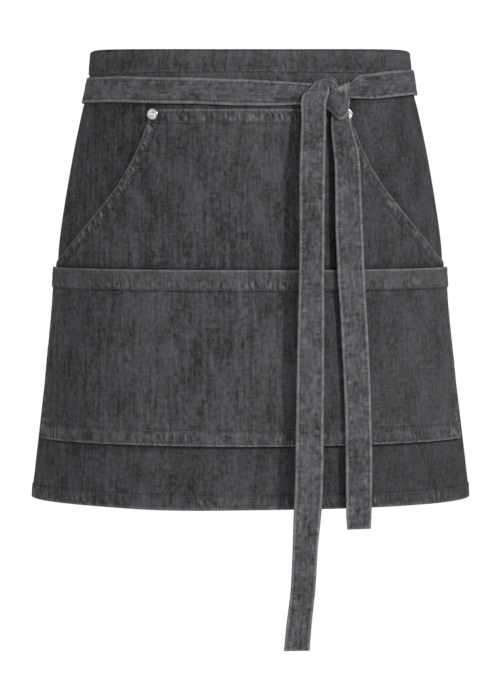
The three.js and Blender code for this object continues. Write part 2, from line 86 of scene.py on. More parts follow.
class ApronSizes(PropertyGroup):
    """Sizes of the apron's cloth, pockets, ties and rivets."""

    waist_half_width: FloatProperty(
        name="Waist half width", description="Half the width of the body form at the ties",
        default=0.1456, min=0.05, unit="LENGTH")
    waist_half_depth: FloatProperty(
        name="Waist half depth", description="Half the depth of the body form at the ties",
        default=0.098, min=0.04, unit="LENGTH")
    hem_half_width: FloatProperty(
        name="Hem half width", description="Half the width of the body form at the hem",
        default=PANEL_HIGH[0] - HEM_FULLNESS, min=0.06, unit="LENGTH")
    hem_half_depth: FloatProperty(
        name="Hem half depth", description="Half the depth of the body form at the hem",
        default=-PANEL_LOW[1] - HEM_FULLNESS, min=0.05, unit="LENGTH")
    top_height: FloatProperty(
        name="Top height", description="Height of the waistband's top above the tie",
        default=BAND_HIGH[2], unit="LENGTH")
    hem_height: FloatProperty(
        name="Hem height", description="Height of the hem, below the tie",
        default=PANEL_LOW[2], unit="LENGTH")
    top_dip: FloatProperty(
        name="Top dip", description="How far the top edge dips in the middle of the front",
        default=0.0025, unit="LENGTH")
    wrap_angle: FloatProperty(
        name="Wrap angle", description="Angle round the body at which the panel ends",
        default=math.radians(115), unit="ROTATION")
    hem_depth: FloatProperty(
        name="Hem depth", description="Depth of the hem turned up along the bottom",
        default=0.011, min=0.002, unit="LENGTH")
    waistband_depth: FloatProperty(
        name="Waistband depth", description="Depth of the band folded over the top edge",
        default=0.022, min=0.005, unit="LENGTH")
    hand_pocket_top: FloatProperty(
        name="Hand pocket top", description="Height of the hand pocket's top edge",
        default=HAND_POCKET_HIGH[2], unit="LENGTH")
    lower_pocket_top: FloatProperty(
        name="Lower pocket top", description="Height of the lower pocket's mouth",
        default=LOWER_POCKET_HIGH[2], unit="LENGTH")
    pocket_foot: FloatProperty(
        name="Pocket foot", description="Height of the seam under both pockets",
        default=LOWER_POCKET_LOW[2], unit="LENGTH")
    mouth_band_depth: FloatProperty(
        name="Mouth band depth", description="Depth of the band at the lower pocket's mouth",
        default=0.018, min=0.004, unit="LENGTH")
    pocket_top_angle: FloatProperty(
        name="Pocket top angle", description="Angle of the hand pocket's top corners",
        default=math.radians(35), unit="ROTATION")
    pocket_side_angle: FloatProperty(
        name="Pocket side angle", description="Angle at which the pocket openings end",
        default=math.radians(85), unit="ROTATION")
    pocket_foot_angle: FloatProperty(
        name="Pocket foot angle", description="Angle of the pockets' lower corners",
        default=math.radians(75), unit="ROTATION")
    opening_top: FloatProperty(
        name="Opening top", description="Height at which a hand opening starts",
        default=-0.03, unit="LENGTH")
    opening_foot: FloatProperty(
        name="Opening foot", description="Height at which a hand opening ends",
        default=-0.155, unit="LENGTH")
    tie_width: FloatProperty(
        name="Tie width", description="Width of the ties", default=0.0225, min=0.005, unit="LENGTH")
    knot_across: FloatProperty(
        name="Knot across", description="Place of the knot to the right of the middle",
        default=0.0755, unit="LENGTH")
    long_tail_foot: FloatProperty(
        name="Long tail foot", description="Height of the long tail's end",
        default=LONG_TIE_LOW[2], unit="LENGTH")
    short_tail_foot: FloatProperty(
        name="Short tail foot", description="Height of the short tail's end",
        default=SHORT_TIE_LOW[2], unit="LENGTH")
    long_tail_stand: FloatProperty(
        name="Long tail stand", description="How far the long tail hangs off the cloth under the knot",
        default=0.0095, unit="LENGTH")
    short_tail_stand: FloatProperty(
        name="Short tail stand", description="How far the short tail hangs off the cloth under the knot",
        default=0.002, unit="LENGTH")
    rivet_angle: FloatProperty(
        name="Rivet angle", description="Angle of the rivets", default=math.radians(33.5), unit="ROTATION")
    rivet_height: FloatProperty(
        name="Rivet height", description="Height of the rivets", default=-0.024, unit="LENGTH")
    rivet_diameter: FloatProperty(
        name="Rivet diameter", description="Diameter of a rivet's cap", default=0.0103, unit="LENGTH")


class ApronDetail(PropertyGroup):
    """Sizes of stitches, puckers and folds."""

    stitch_length: FloatProperty(
        name="Stitch length", description="Length of one stitch", default=0.0026, unit="LENGTH")
    stitch_pitch: FloatProperty(
        name="Stitch pitch", description="From one stitch to the next", default=0.0033, unit="LENGTH")
    thread_width: FloatProperty(
        name="Thread width", description="Width of the sewing thread", default=0.0006, unit="LENGTH")
    cloth_thickness: FloatProperty(
        name="Cloth thickness", description="Thickness of one layer of denim",
        default=0.0009, min=0.0003, unit="LENGTH")
    pucker_depth: FloatProperty(
        name="Pucker depth", description="How deep the cloth puckers beside a seam",
        default=0.00035, unit="LENGTH")
    pucker_pitch: FloatProperty(
        name="Pucker pitch", description="From one pucker to the next",
        default=0.0052, min=0.002, unit="LENGTH")
    fold_depth: FloatProperty(
        name="Fold depth", description="How deep the cloth waves in broad soft folds",
        default=0.0006, unit="LENGTH")
    opening_gape: FloatProperty(
        name="Opening gape", description="How far a hand opening stands off the panel",
        default=0.0016, unit="LENGTH")
    column_width: FloatProperty(
        name="Column width", description="Width of one column of the cloth's mesh",
        default=0.0023, min=0.001, unit="LENGTH")
    seed: IntProperty(name="Seed", description="Start of the random puckers and folds", default=7)


class ApronColours(PropertyGroup):
    """Colours of the cloth, thread, metal and stage."""

    denim: FloatVectorProperty(
        name="Denim", description="Washed denim of the panel and pockets",
        default=(0.0640, 0.0625, 0.0680), min=0, max=1, subtype="COLOR")
    tie_denim: FloatVectorProperty(
        name="Tie denim", description="Washed denim of the ties",
        default=(0.0860, 0.0840, 0.0915), min=0, max=1, subtype="COLOR")
    # The worn colour is also used for painted light: under the waistband's foot and on the ties' runs towards
    # -X
    worn: FloatVectorProperty(
        name="Worn edge", description="Denim rubbed pale along folds and seams",
        default=(0.262, 0.259, 0.268), min=0, max=1, subtype="COLOR")
    # The deep colour is also used for painted shade: beside and under the pockets, under the ties, round the
    # rivets, under a tie's fold and on the ties' runs towards +X
    deep: FloatVectorProperty(
        name="Deep dye", description="Denim that kept its dye beside seams",
        default=(0.014, 0.0137, 0.0155), min=0, max=1, subtype="COLOR")
    thread: FloatVectorProperty(
        name="Thread", description="Sewing thread",
        default=(0.12, 0.12, 0.124), min=0, max=1, subtype="COLOR")
    metal: FloatVectorProperty(
        name="Metal", description="Bright metal of the rivets",
        default=(0.80, 0.80, 0.79), min=0, max=1, subtype="COLOR")
    floor: FloatVectorProperty(
        name="Floor", description="Pale floor", default=(0.86, 0.86, 0.86), min=0, max=1, subtype="COLOR")


def sizes():
    return bpy.context.scene.apron_sizes


def detail():
    return bpy.context.scene.apron_detail


def colours():
    return bpy.context.scene.apron_colours


# Smooth random values

class ValueNoise:
    """Smooth repeatable noise from -1 to 1 of two coordinates counted in cells."""

    cells = 256

    def __init__(self, seed):
        self.values = np.random.default_rng(seed).uniform(-1, 1, (self.cells, self.cells))

    def __call__(self, x, y=0.0):
        x, y = np.broadcast_arrays(np.asarray(x, float), np.asarray(y, float))
        i, j = np.floor(x).astype(int), np.floor(y).astype(int)
        fx, fy = x - i, y - j
        fx, fy = fx * fx * (3 - 2 * fx), fy * fy * (3 - 2 * fy)

        def at(a, b):
            return self.values[a % self.cells, b % self.cells]

        low = at(i, j) * (1 - fx) + at(i + 1, j) * fx
        high = at(i, j + 1) * (1 - fx) + at(i + 1, j + 1) * fx
        return low * (1 - fy) + high * fy


def smoothstep(low, high, value):
    t = np.clip((value - low) / (high - low), 0, 1)
    return t * t * (3 - 2 * t)


def bell(distance, reach):
    return np.exp(-((distance / reach) ** 2))


def bells(distance, rows):
    """Sum of bells, each row a strength and a reach."""
    return sum(strength * bell(distance, reach) for strength, reach in rows)


def monotone_slopes(at, values):
    """Slopes of a smooth curve through rows of values that never overshoots them."""
    step = np.diff(at)[:, None]
    rise = np.diff(values, axis=0) / step
    slopes = np.zeros_like(values)
    slopes[0], slopes[-1] = rise[0], rise[-1]
    before, after = rise[:-1], rise[1:]
    same_way = before * after > 0
    w1 = 2 * step[1:] + step[:-1]
    w2 = step[1:] + 2 * step[:-1]
    with np.errstate(divide="ignore", invalid="ignore"):
        mean = (w1 + w2) / (w1 / before + w2 / after)
    slopes[1:-1] = np.where(same_way, mean, 0)
    return slopes


def smooth_through(at, values, wanted):
    """Values at `wanted` on a smooth curve through rows of values."""
    at, values, wanted = np.asarray(at, float), np.asarray(values, float), np.asarray(wanted, float)
    flat = values.ndim == 1
    if flat:
        values = values[:, None]
    slopes = monotone_slopes(at, values)
    wanted = np.clip(wanted, at[0], at[-1])
    i = np.clip(np.searchsorted(at, wanted, side="right") - 1, 0, len(at) - 2)
    step = (at[i + 1] - at[i])[..., None]
    t = (wanted - at[i])[..., None] / step
    result = (
        values[i] * (1 + 2 * t) * (1 - t) ** 2 + slopes[i] * step * t * (1 - t) ** 2
        + values[i + 1] * t * t * (3 - 2 * t) + slopes[i + 1] * step * t * t * (t - 1))
    return result[..., 0] if flat else result


# Body form

class BodyForm:
    """Oval sections that the cloth follows, with the broad soft folds that all layers share."""

    arc_nodes, arc_weights = np.polynomial.legendre.leggauss(10)
    arc_rounds = 6
    flare_steps = 400
    # Waves in the cloth: share of the depth, cells a radian, height of a cell, and the place in the noise
    waves = ((1.0, 2.6, 0.16, 9, 0), (0.4, 6.1, 0.07, 31, 5))

    def __init__(self):
        s = sizes()
        self.size = s
        self.length = s.top_height - s.hem_height
        down, flare = np.array(FLARE_ROWS).T
        self.down = np.linspace(0, 1, self.flare_steps)
        self.flare = smooth_through(down, flare, self.down)
        self.folds = ValueNoise(detail().seed)
        self.fold_depth = detail().fold_depth

    def half_sizes(self, z):
        s = self.size
        flare = np.interp((s.top_height - z) / self.length, self.down, self.flare)
        width = s.waist_half_width + (s.hem_half_width - s.waist_half_width) * flare
        depth = s.waist_half_depth + (s.hem_half_depth - s.waist_half_depth) * flare
        return width, depth

    def fold(self, angle, z):
        """Broad soft waves that run down the cloth and grow towards the hem."""
        s = self.size
        down = np.clip((s.top_height - z) / self.length, 0, 1)
        wave = sum(share * self.folds(angle * across + first, z / cell + start)
                   for share, across, cell, first, start in self.waves)
        return self.fold_depth * wave * (0.25 + 1.1 * down)

    def point(self, angle, z, out):
        """World points at an angle and height, `out` outside the panel's face."""
        angle, z, out = np.broadcast_arrays(angle, z, out)
        width, depth = self.half_sizes(z)
        out = out + self.fold(angle, z)
        return np.stack([(width + out) * np.sin(angle), -(depth + out) * np.cos(angle), z], -1)

    def outward(self, angle, z):
        """Unit vectors straight out of the cloth."""
        width, depth = self.half_sizes(z)
        normal = np.stack([np.sin(angle) * depth, -np.cos(angle) * width, np.zeros_like(angle + z)], -1)
        return normal / np.linalg.norm(normal, axis=-1, keepdims=True)

    def angle_of(self, across, z, out):
        """Angle in front of the body of a point `across` the middle."""
        width, _ = self.half_sizes(z)
        return np.arcsin(np.clip(across / (width + out), -0.999, 0.999))

    def arc(self, angle, z):
        """Length round the body from the middle of the front."""
        angle, z = np.broadcast_arrays(angle, z)
        width, depth = self.half_sizes(z)
        total = np.zeros(angle.shape)
        for node, weight in zip(self.arc_nodes, self.arc_weights):
            a = angle * (node + 1) / 2
            total += weight / 2 * np.hypot(width * np.cos(a), depth * np.sin(a))
        return total * angle

    def angle_at_arc(self, arc, z):
        """Angle at a length round the body from the middle of the front."""
        angle = np.asarray(arc, float) / self.half_sizes(z)[0]
        if not np.any(arc):
            return angle
        for _ in range(self.arc_rounds):
            angle = angle * arc / np.where(np.abs(arc) < 1e-9, 1, self.arc(angle, z))
        return angle


class ClothLine:
    """Path over the cloth, such as an edge or a seam. A mirrored one counts on both sides."""

    def __init__(self, form, angles, heights, mirrored=False):
        self.angles, self.heights = np.broadcast_arrays(np.asarray(angles, float), np.asarray(heights, float))
        self.mirrored = mirrored
        self.u = form.arc(self.angles, self.heights)
        steps = np.hypot(np.diff(self.u), np.diff(self.heights))
        self.along = np.concatenate([[0], np.cumsum(steps)])

    def measure(self, u, z):
        """Distance to the path, positive on its left, and the place along it."""
        pu = (np.abs(u) if self.mirrored else u).ravel()
        pz = np.broadcast_to(z, u.shape).ravel()
        best = np.full(pu.size, np.inf)
        side, along = np.zeros(pu.size), np.zeros(pu.size)
        for i in range(len(self.u) - 1):
            du, dz = self.u[i + 1] - self.u[i], self.heights[i + 1] - self.heights[i]
            length = math.hypot(du, dz)
            if length < 1e-9:
                continue
            au, az = pu - self.u[i], pz - self.heights[i]
            t = np.clip((au * du + az * dz) / length**2, 0, 1)
            square = (au - t * du) ** 2 + (az - t * dz) ** 2
            closer = square < best
            best[closer] = square[closer]
            side[closer] = np.sign(du * az - dz * au)[closer]
            along[closer] = (self.along[i] + t * length)[closer]
        return (np.sqrt(best) * side).reshape(u.shape), along.reshape(u.shape)


def pocket_side(z):
    """Angle of the pockets' side edge: straight at the top, out along the opening, then in a little."""
    s = sizes()
    opening = s.opening_top - s.opening_foot
    down, out = np.array(OPENING_ROWS).T
    share = smooth_through(down, out, np.clip((s.opening_top - z) / opening, 0, 1))
    beside_opening = s.pocket_top_angle + (s.pocket_side_angle - s.pocket_top_angle) * share
    foot_share = (s.opening_foot - z) / (s.opening_foot - s.pocket_foot)
    below = s.pocket_side_angle + (s.pocket_foot_angle - s.pocket_side_angle) * foot_share
    return np.where(z >= s.opening_foot, beside_opening, below)


def level_line(form, z, side_angle, step=math.radians(1)):
    count = max(2, int(2 * side_angle / step))
    return ClothLine(form, np.linspace(-side_angle, side_angle, count), np.full(count, z))


def side_line(form, top, foot, inset=0.0, count=90):
    """The pockets' right side edge from `top` down to `foot`, moved in by `inset`."""
    z = np.linspace(top, foot, count)
    u = form.arc(pocket_side(z), z)
    du, dz = np.gradient(u), np.gradient(z)
    length = np.hypot(du, dz)
    u, z = u + inset * dz / length, z - inset * du / length
    return ClothLine(form, form.angle_at_arc(u, z), z, mirrored=True)


# Cloth faces

class Seam:
    """Row of stitches: how deep it pulls the cloth in, and how strongly the cloth puckers round it.

    The roping is strongest `rope_at` to the left of the row and fades within `rope_reach`.
    """

    groove_reach = 0.9 * MM
    patch_length = 24 * MM

    def __init__(self, line, pucker=1.0, depth=0.3 * MM, reach=4 * MM, skew=0.0, worn=0.25, seed=0,
                 rope=0.5, dark=0.12, rope_at=0.0, rope_reach=0.0):
        self.line, self.pucker, self.depth, self.reach = line, pucker, depth, reach
        self.skew, self.worn, self.rope, self.dark = skew, worn, rope, dark
        self.rope_at, self.rope_reach = rope_at, rope_reach or 1.1 * reach
        self.noise = ValueNoise(detail().seed + 100 + seed)

    def relief(self, u, z):
        """Lift, wear, and the place on the seam's roping, that the seam adds at points of the cloth."""
        d, along = self.line.measure(u, z)
        if self.line.mirrored:
            along = along + np.where(u < 0, 0.9, 0)
        at = (along + self.skew * d) / detail().pucker_pitch
        ripple = self.noise(at, 3 + d / (6 * MM)) + 0.5 * self.noise(at * 2.1, 40 + d / (5 * MM))
        near = bell(d, self.reach)
        groove = bell(d, self.groove_reach)
        lift = self.pucker * detail().pucker_depth * near * ripple - self.depth * groove
        wear_and_painted_shading = self.worn * near * (0.3 + 1.2 * ripple) - (self.dark + 0.4 * self.worn) * groove
        patchy = np.clip(0.75 + 0.8 * self.noise(along / self.patch_length, 90), 0.15, 1.45)
        if self.line.mirrored:
            patchy = np.where(u < 0, 0.5 + 0.8 * patchy, 0.75 * patchy)
        roping = self.rope * patchy * bell(d - self.rope_at, self.rope_reach)
        return lift, wear_and_painted_shading, np.stack([along + self.skew * d, d, roping], -1)


class ClothFace:
    """Outer and inner offsets and the wear and painted shading of one piece of cloth, anywhere on it."""

    edge_round = 0.7 * MM
    edge_wear = 0.78
    edge_wear_reach = 1.35 * MM
    # How much darker the cloth is just past the inner end of each turned hem
    hem_step_dark = 0.22
    thinnest_edge = 0.22

    def __init__(self, form, outer, inner, edges, hems=(), seams=(), seed=0):
        self.form, self.base_outer, self.base_inner = form, outer, inner
        self.edges, self.hems, self.seams = edges, hems, seams
        self.noise = ValueNoise(detail().seed + 500 + seed)
        self.extra = []

    def measure(self, angle, z):
        """Offsets of the outer and inner face, the wear with painted shading, from -1 to 1, and the place on
        the roping.
        """
        angle, z = np.broadcast_arrays(np.asarray(angle, float), np.asarray(z, float))
        u = self.form.arc(angle, z)
        outer = np.full(angle.shape, self.base_outer)
        inner = np.full(angle.shape, self.base_inner)
        wear_and_painted_shading = 0.05 * self.noise(u / (21 * MM), z / (34 * MM))
        rope = np.zeros((*angle.shape, 3))
        for line, depth, lift, pale in self.hems:
            d = np.abs(line.measure(u, z)[0])
            inside = 1 - smoothstep(depth - 0.5 * MM, depth + 0.7 * MM, d)
            outer += lift * inside
            wear_and_painted_shading += pale * inside - self.hem_step_dark * bell(d - depth - 0.5 * MM, 0.9 * MM)
        for seam in self.seams:
            lift, worn, roping = seam.relief(u, z)
            outer += lift
            inner += 0.6 * lift
            wear_and_painted_shading += worn
            rope = np.where(roping[..., 2:] > rope[..., 2:], roping, rope)
        for extra in self.extra:
            add_outer, add_inner, add_wear_and_painted_shading = extra(u, z, angle)
            outer += add_outer
            inner += add_inner
            wear_and_painted_shading += add_wear_and_painted_shading
        near_edge = np.full(angle.shape, np.inf)
        for line in self.edges:
            d, along = line.measure(u, z)
            d = np.abs(d)
            near_edge = np.minimum(near_edge, d)
            rough = 0.78 + 0.3 * self.noise(along / (3.1 * MM), 77 + np.where(u < 0, 9, 0))
            wear_and_painted_shading += self.edge_wear * rough * bell(d, self.edge_wear_reach)
        inner = np.minimum(inner, outer - 0.3 * MM)
        middle, half = (outer + inner) / 2, (outer - inner) / 2
        share = np.clip(near_edge / self.edge_round, 0, 1)
        rounded = np.maximum(np.sqrt(1 - (1 - share) ** 2), self.thinnest_edge)
        return middle + half * rounded, middle - half * rounded, np.clip(wear_and_painted_shading, -1, 1), rope

    def outer_point(self, angle, z):
        return self.form.point(angle, z, self.measure(angle, z)[0])

    def inner_point(self, angle, z):
        return self.form.point(angle, z, self.measure(angle, z)[1])


def new_mesh(name, points, quads, values=None):
    """Smooth-shaded mesh object from points and quads, with a value of each point for each name."""
    quads = np.asarray(quads, np.int32)
    mesh = bpy.data.meshes.new(name)
    mesh.vertices.add(len(points))
    mesh.vertices.foreach_set("co", np.asarray(points, np.float32).ravel())
    mesh.loops.add(quads.size)
    mesh.loops.foreach_set("vertex_index", quads.ravel())
    mesh.polygons.add(len(quads))
    mesh.polygons.foreach_set("loop_start", np.arange(0, quads.size, 4, dtype=np.int32))
    mesh.update(calc_edges=True)
    for key, data in (values or {}).items():
        data = np.asarray(data, np.float32)
        kind, field = ("FLOAT_VECTOR", "vector") if data.ndim == 2 else ("FLOAT", "value")
        mesh.attributes.new(key, kind, "POINT").data.foreach_set(field, data.ravel())
    if mesh.validate():
        raise RuntimeError(f"{name}: the mesh had to be mended")
    mesh.shade_smooth()
    obj = bpy.data.objects.new(name, mesh)
    bpy.context.scene.collection.objects.link(obj)
    return obj


def grid_quads(rows, columns, first=0, flip=False):
    """Quads of a grid of points stored row by row."""
    i, j = np.meshgrid(np.arange(rows - 1), np.arange(columns - 1), indexing="ij")
    a = (first + i * columns + j).ravel()
    quads = np.stack([a, a + columns, a + columns + 1, a + 1], -1)
    return quads[:, ::-1] if flip else quads


def ring_quads(rings, sides, flip=False):
    """Quads round a tube of points stored ring by ring."""
    grid = np.arange(rings * sides).reshape(rings, sides)
    after = np.roll(grid, -1, 1)
    corners = [grid[:-1], after[:-1], after[1:], grid[1:]]
    if flip:
        corners = [corners[0], corners[3], corners[2], corners[1]]
    return np.stack(corners, -1).reshape(-1, 4)


def end_quads(sides):
    """Quads across the open end of a flat tube, for its first ring."""
    return np.array([[k, k + 1, sides - 2 - k, sides - 1 - k] for k in range(sides // 2 - 1)])


def cap_quads(middle, first, sides):
    """Quads from a middle point to a ring that starts at the point `first`."""
    ring = first + np.arange(sides)
    after, beyond = np.roll(ring, -1), np.roll(ring, -2)
    return np.stack([np.full(sides // 2, middle), ring[::2], after[::2], beyond[::2]], -1)


def border_quads(rows, columns):
    """Quads that close the border between two grids stored one after the other."""
    top = [(0, j) for j in range(columns - 1)]
    right = [(i, columns - 1) for i in range(rows - 1)]
    bottom = [(rows - 1, j) for j in range(columns - 1, 0, -1)]
    left = [(i, 0) for i in range(rows - 1, 0, -1)]
    loop = np.array([i * columns + j for i, j in top + right + bottom + left])
    after = np.roll(loop, -1)
    other = rows * columns
    return np.stack([loop, after, after + other, loop + other], -1)


def cloth_piece(name, face, share, z, side, dip=None):
    """Closed cloth between a face's two offsets. Columns are shares of the side angle, rows heights."""
    columns, rows = len(share), len(z)
    height = np.repeat(z[:, None], columns, 1)
    angle = side(z)[:, None] * share[None, :]
    if dip is not None:
        height = height - dip(height, angle)
    outer, inner, wear_and_painted_shading, rope = face.measure(angle, height)
    out_points = face.form.point(angle, height, outer).reshape(-1, 3)
    in_points = face.form.point(angle, height, inner).reshape(-1, 3)
    u = face.form.arc(angle, height).ravel()
    cloth = np.stack([u, height.ravel(), np.zeros_like(u)], -1)
    quads = np.concatenate([
        grid_quads(rows, columns),
        grid_quads(rows, columns, rows * columns, flip=True),
        border_quads(rows, columns),
    ])
    inside = np.concatenate([np.zeros(u.size), np.ones(u.size)])
    wear_and_painted_shading = wear_and_painted_shading.ravel()
    values = {
        "cloth": np.concatenate([cloth, cloth + [0, 0, 1]]),
        "wear_and_painted_shading": np.concatenate([wear_and_painted_shading, 0.5 * wear_and_painted_shading]),
        "inside": inside,
        "rope": np.tile(rope.reshape(-1, 3), (2, 1)),
    }
    return new_mesh(name, np.concatenate([out_points, in_points]), quads, values)


def graded(low, high, step, fine=(), fine_step=0.8 * MM, reach=3 * MM):
    """Steps from low to high, with extra ones round each value in `fine`."""
    values = list(np.linspace(low, high, max(2, int(round(abs(high - low) / step)) + 1)))
    for centre in fine:
        values += [v for v in np.arange(centre - reach, centre + reach + 1e-9, fine_step) if low < v < high]
    values = np.array(sorted(values))
    keep = [0]
    for i in range(1, len(values) - 1):
        if values[i] - values[keep[-1]] > 0.45 * fine_step and values[-1] - values[i] > 0.45 * fine_step:
            keep.append(i)
    return np.append(values[keep], values[-1])


def edge_graded(count, width):
    """Shares from -1 to 1 with fine columns near both ends."""
    *near, first = np.array([0.15, 0.4, 0.8, 1.5, 2.4, 3.6, 5.2]) * MM / (width / 2)
    near = np.array(near)
    inner = np.linspace(-1 + first, 1 - first, count)
    return np.concatenate([[-1], -1 + near, inner, (1 - near)[::-1], [1]])


def edge_rows(z):
    """Heights from top to foot with fine rows near both ends."""
    near = np.array([0.15, 0.4, 0.8]) * MM
    margin = 1.3 * MM
    z = np.sort(z)[::-1]
    inner = z[(z < z[0] - margin) & (z > z[-1] + margin)]
    return np.concatenate([[z[0]], z[0] - near, inner, (z[-1] + near)[::-1], [z[-1]]])


# Thread

def thread_mesh(name, starts, middles, ends, normals, seed=0):
    """One object of short rounded stitches."""
    sides = 6
    width = detail().thread_width
    # Rings along a stitch: share of its length, half width and rise out of the cloth
    share = np.array([0, 0.14, 0.5, 0.86, 1])
    wide = np.array([0.4, 0.95, 1, 0.95, 0.4]) * width / 2
    rise = np.array([-0.35, 0.12, 0.3, 0.12, -0.35]) * width
    rng = np.random.default_rng(detail().seed + 900 + seed)
    tangent = ends - starts
    length = np.linalg.norm(tangent, axis=-1, keepdims=True)
    tangent = tangent / length
    across = np.cross(tangent, normals)
    across /= np.linalg.norm(across, axis=-1, keepdims=True)
    sway = rng.uniform(-0.16, 0.16, (len(starts), 1)) * width
    rings = []
    for t, half, lift in zip(share, wide, rise):
        centre = starts * (1 - t) * (1 - 2 * t) + middles * 4 * t * (1 - t) + ends * t * (2 * t - 1)
        centre = centre + normals * lift + across * sway * (2 * t - 1) * 2
        for k in range(sides):
            a = 2 * math.pi * k / sides
            rings.append(centre + across * half * math.cos(a) + normals * half * 0.8 * math.sin(a))
    points = np.stack(rings, 1)
    near_end = np.array([[3, 2, 1, 0], [5, 4, 3, 0]])
    far_end = np.array([[0, 1, 2, 3], [0, 3, 4, 5]]) + (len(share) - 1) * sides
    stitch = np.concatenate([ring_quads(len(share), sides), near_end, far_end])
    count = points.shape[1]
    quads = (stitch[None] + (np.arange(len(starts)) * count)[:, None, None]).reshape(-1, 4)
    shade = np.repeat(rng.uniform(0, 1, len(starts)), count)
    return new_mesh(name, points.reshape(-1, 3), quads, {"shade": shade})


def row_stitches(line, place, form, sides=(1,), outward=1):
    """Start, middle, end and normal of each stitch along a line on a face."""
    pitch, length = detail().stitch_pitch, detail().stitch_length
    found = []
    for side in sides:
        dense = max(50, len(line.u) * 4)
        at = np.linspace(0, line.along[-1], dense)
        angles = side * np.interp(at, line.along, line.angles)
        heights = np.interp(at, line.along, line.heights)
        rough = form.point(angles, heights, 0)
        run = np.concatenate([[0], np.cumsum(np.linalg.norm(np.diff(rough, axis=0), axis=1))])
        count = max(1, int(run[-1] / pitch))
        centres = run[-1] * (np.arange(count) + 0.5) / count
        parts = []
        for shift in (-0.5, 0, 0.5):
            where = np.clip(centres + shift * length, 0, run[-1])
            parts.append(place(np.interp(where, run, angles), np.interp(where, run, heights)))
        angle, z = np.interp(centres, run, angles), np.interp(centres, run, heights)
        found.append((*parts, outward * form.outward(angle, z)))
    return tuple(np.concatenate(part) for part in zip(*found))


def join_stitches(groups):
    return tuple(np.concatenate(part) for part in zip(*groups))


# Materials

class NodeMaker:
    """Short calls for the nodes of one material."""

    def __init__(self, name):
        self.material = bpy.data.materials.new(name)
        self.material.use_nodes = True
        self.tree = self.material.node_tree
        self.tree.nodes.clear()
        self.output = self.tree.nodes.new("ShaderNodeOutputMaterial")
        self.surface = self.tree.nodes.new("ShaderNodeBsdfPrincipled")
        self.tree.links.new(self.surface.outputs[0], self.output.inputs[0])

    def put(self, socket, value):
        if isinstance(value, bpy.types.NodeSocket):
            self.tree.links.new(value, socket)
        else:
            socket.default_value = value

    def attribute(self, name, vector=False):
        node = self.tree.nodes.new("ShaderNodeAttribute")
        node.attribute_name = name
        return node.outputs["Vector" if vector else "Fac"]

    def scaled(self, vector, scale, turn=0.0):
        node = self.tree.nodes.new("ShaderNodeMapping")
        self.put(node.inputs["Vector"], vector)
        self.put(node.inputs["Scale"], scale)
        self.put(node.inputs["Rotation"], (0, 0, turn))
        return node.outputs[0]

    def noise(self, vector, scale, detail_levels=2.0, roughness=0.5):
        node = self.tree.nodes.new("ShaderNodeTexNoise")
        self.put(node.inputs["Vector"], self.scaled(vector, scale))
        self.put(node.inputs["Scale"], 1.0)
        self.put(node.inputs["Detail"], detail_levels)
        self.put(node.inputs["Roughness"], roughness)
        return node.outputs[0]

    def math(self, operation, a, b=0.0, clamp=False):
        node = self.tree.nodes.new("ShaderNodeMath")
        node.operation, node.use_clamp = operation, clamp
        self.put(node.inputs[0], a)
        self.put(node.inputs[1], b)
        return node.outputs[0]

    def add(self, a, b, clamp=False):
        return self.math("ADD", a, b, clamp)

    def times(self, a, b, clamp=False):
        return self.math("MULTIPLY", a, b, clamp)

    def centred(self, value, weight):
        """A noise from 0 to 1, moved to swing round 0 and weighted."""
        return self.times(self.math("SUBTRACT", value, 0.5), weight)

    def split(self, vector):
        node = self.tree.nodes.new("ShaderNodeSeparateXYZ")
        self.put(node.inputs[0], vector)
        return node.outputs

    def wave(self, vector, scale, distortion):
        node = self.tree.nodes.new("ShaderNodeTexWave")
        node.wave_type, node.bands_direction = "BANDS", "X"
        self.put(node.inputs["Vector"], vector)
        self.put(node.inputs["Scale"], scale)
        self.put(node.inputs["Distortion"], distortion)
        self.put(node.inputs["Detail"], 1.0)
        return node.outputs["Fac"]

    def fit(self, value, low, high, to_low=0.0, to_high=1.0):
        node = self.tree.nodes.new("ShaderNodeMapRange")
        for name, given in zip(("Value", "From Min", "From Max", "To Min", "To Max"),
                               (value, low, high, to_low, to_high)):
            self.put(node.inputs[name], given)
        return node.outputs[0]

    def mix(self, share, a, b, blend="MIX"):
        node = self.tree.nodes.new("ShaderNodeMix")
        node.data_type, node.blend_type = "RGBA", blend
        self.put(node.inputs["Factor"], share)
        colour_a, colour_b = [s for s in node.inputs if s.type == "RGBA"]
        self.put(colour_a, a)
        self.put(colour_b, b)
        return next(s for s in node.outputs if s.type == "RGBA")

    def bump(self, height, distance, strength=1.0):
        node = self.tree.nodes.new("ShaderNodeBump")
        self.put(node.inputs["Height"], height)
        self.put(node.inputs["Distance"], distance)
        self.put(node.inputs["Strength"], strength)
        self.tree.links.new(node.outputs[0], self.surface.inputs["Normal"])


def opaque(colour, gain=1.0):
    return (*[min(1.0, c * gain) for c in colour], 1.0)


# Noise in the denim: repeats a metre across, up and between its faces, levels of detail, roughness
DENIM_NOISE = {
    "slub": ((560, 120, 40), 2.0, 0.6),
    "streak": ((270, 24, 40), 2.0, 0.55),
    "blotch": ((290, 230, 40), 2.0, 0.6),
    "weft": ((85, 520, 40), 2.0, 0.6),
    "cloud": ((52, 34, 40), 3.0, 0.55),
    "broad": ((13, 9, 40), 2.0, 0.5),
    "grain": ((1300, 1000, 40), 1.0, 0.5),
}
ROPING_NOISE = ((430, 110, 0), 1.0, 0.5)
ROPING_WEAR = 3.0
ROPING_BUMP = 1.7
TWILL_TURN = math.radians(27)
TWILL_LINES = 330.0
TWILL_WANDER = 1.5

# How much each pattern weighs in the tone of the dye
STREAK_WEIGHT = 1.15
TONE_WEIGHTS = {"blotch": 1.1, "weft": 0.6, "cloud": 1.1, "broad": 0.6, "grain": 0.4, "twill": 0.10}

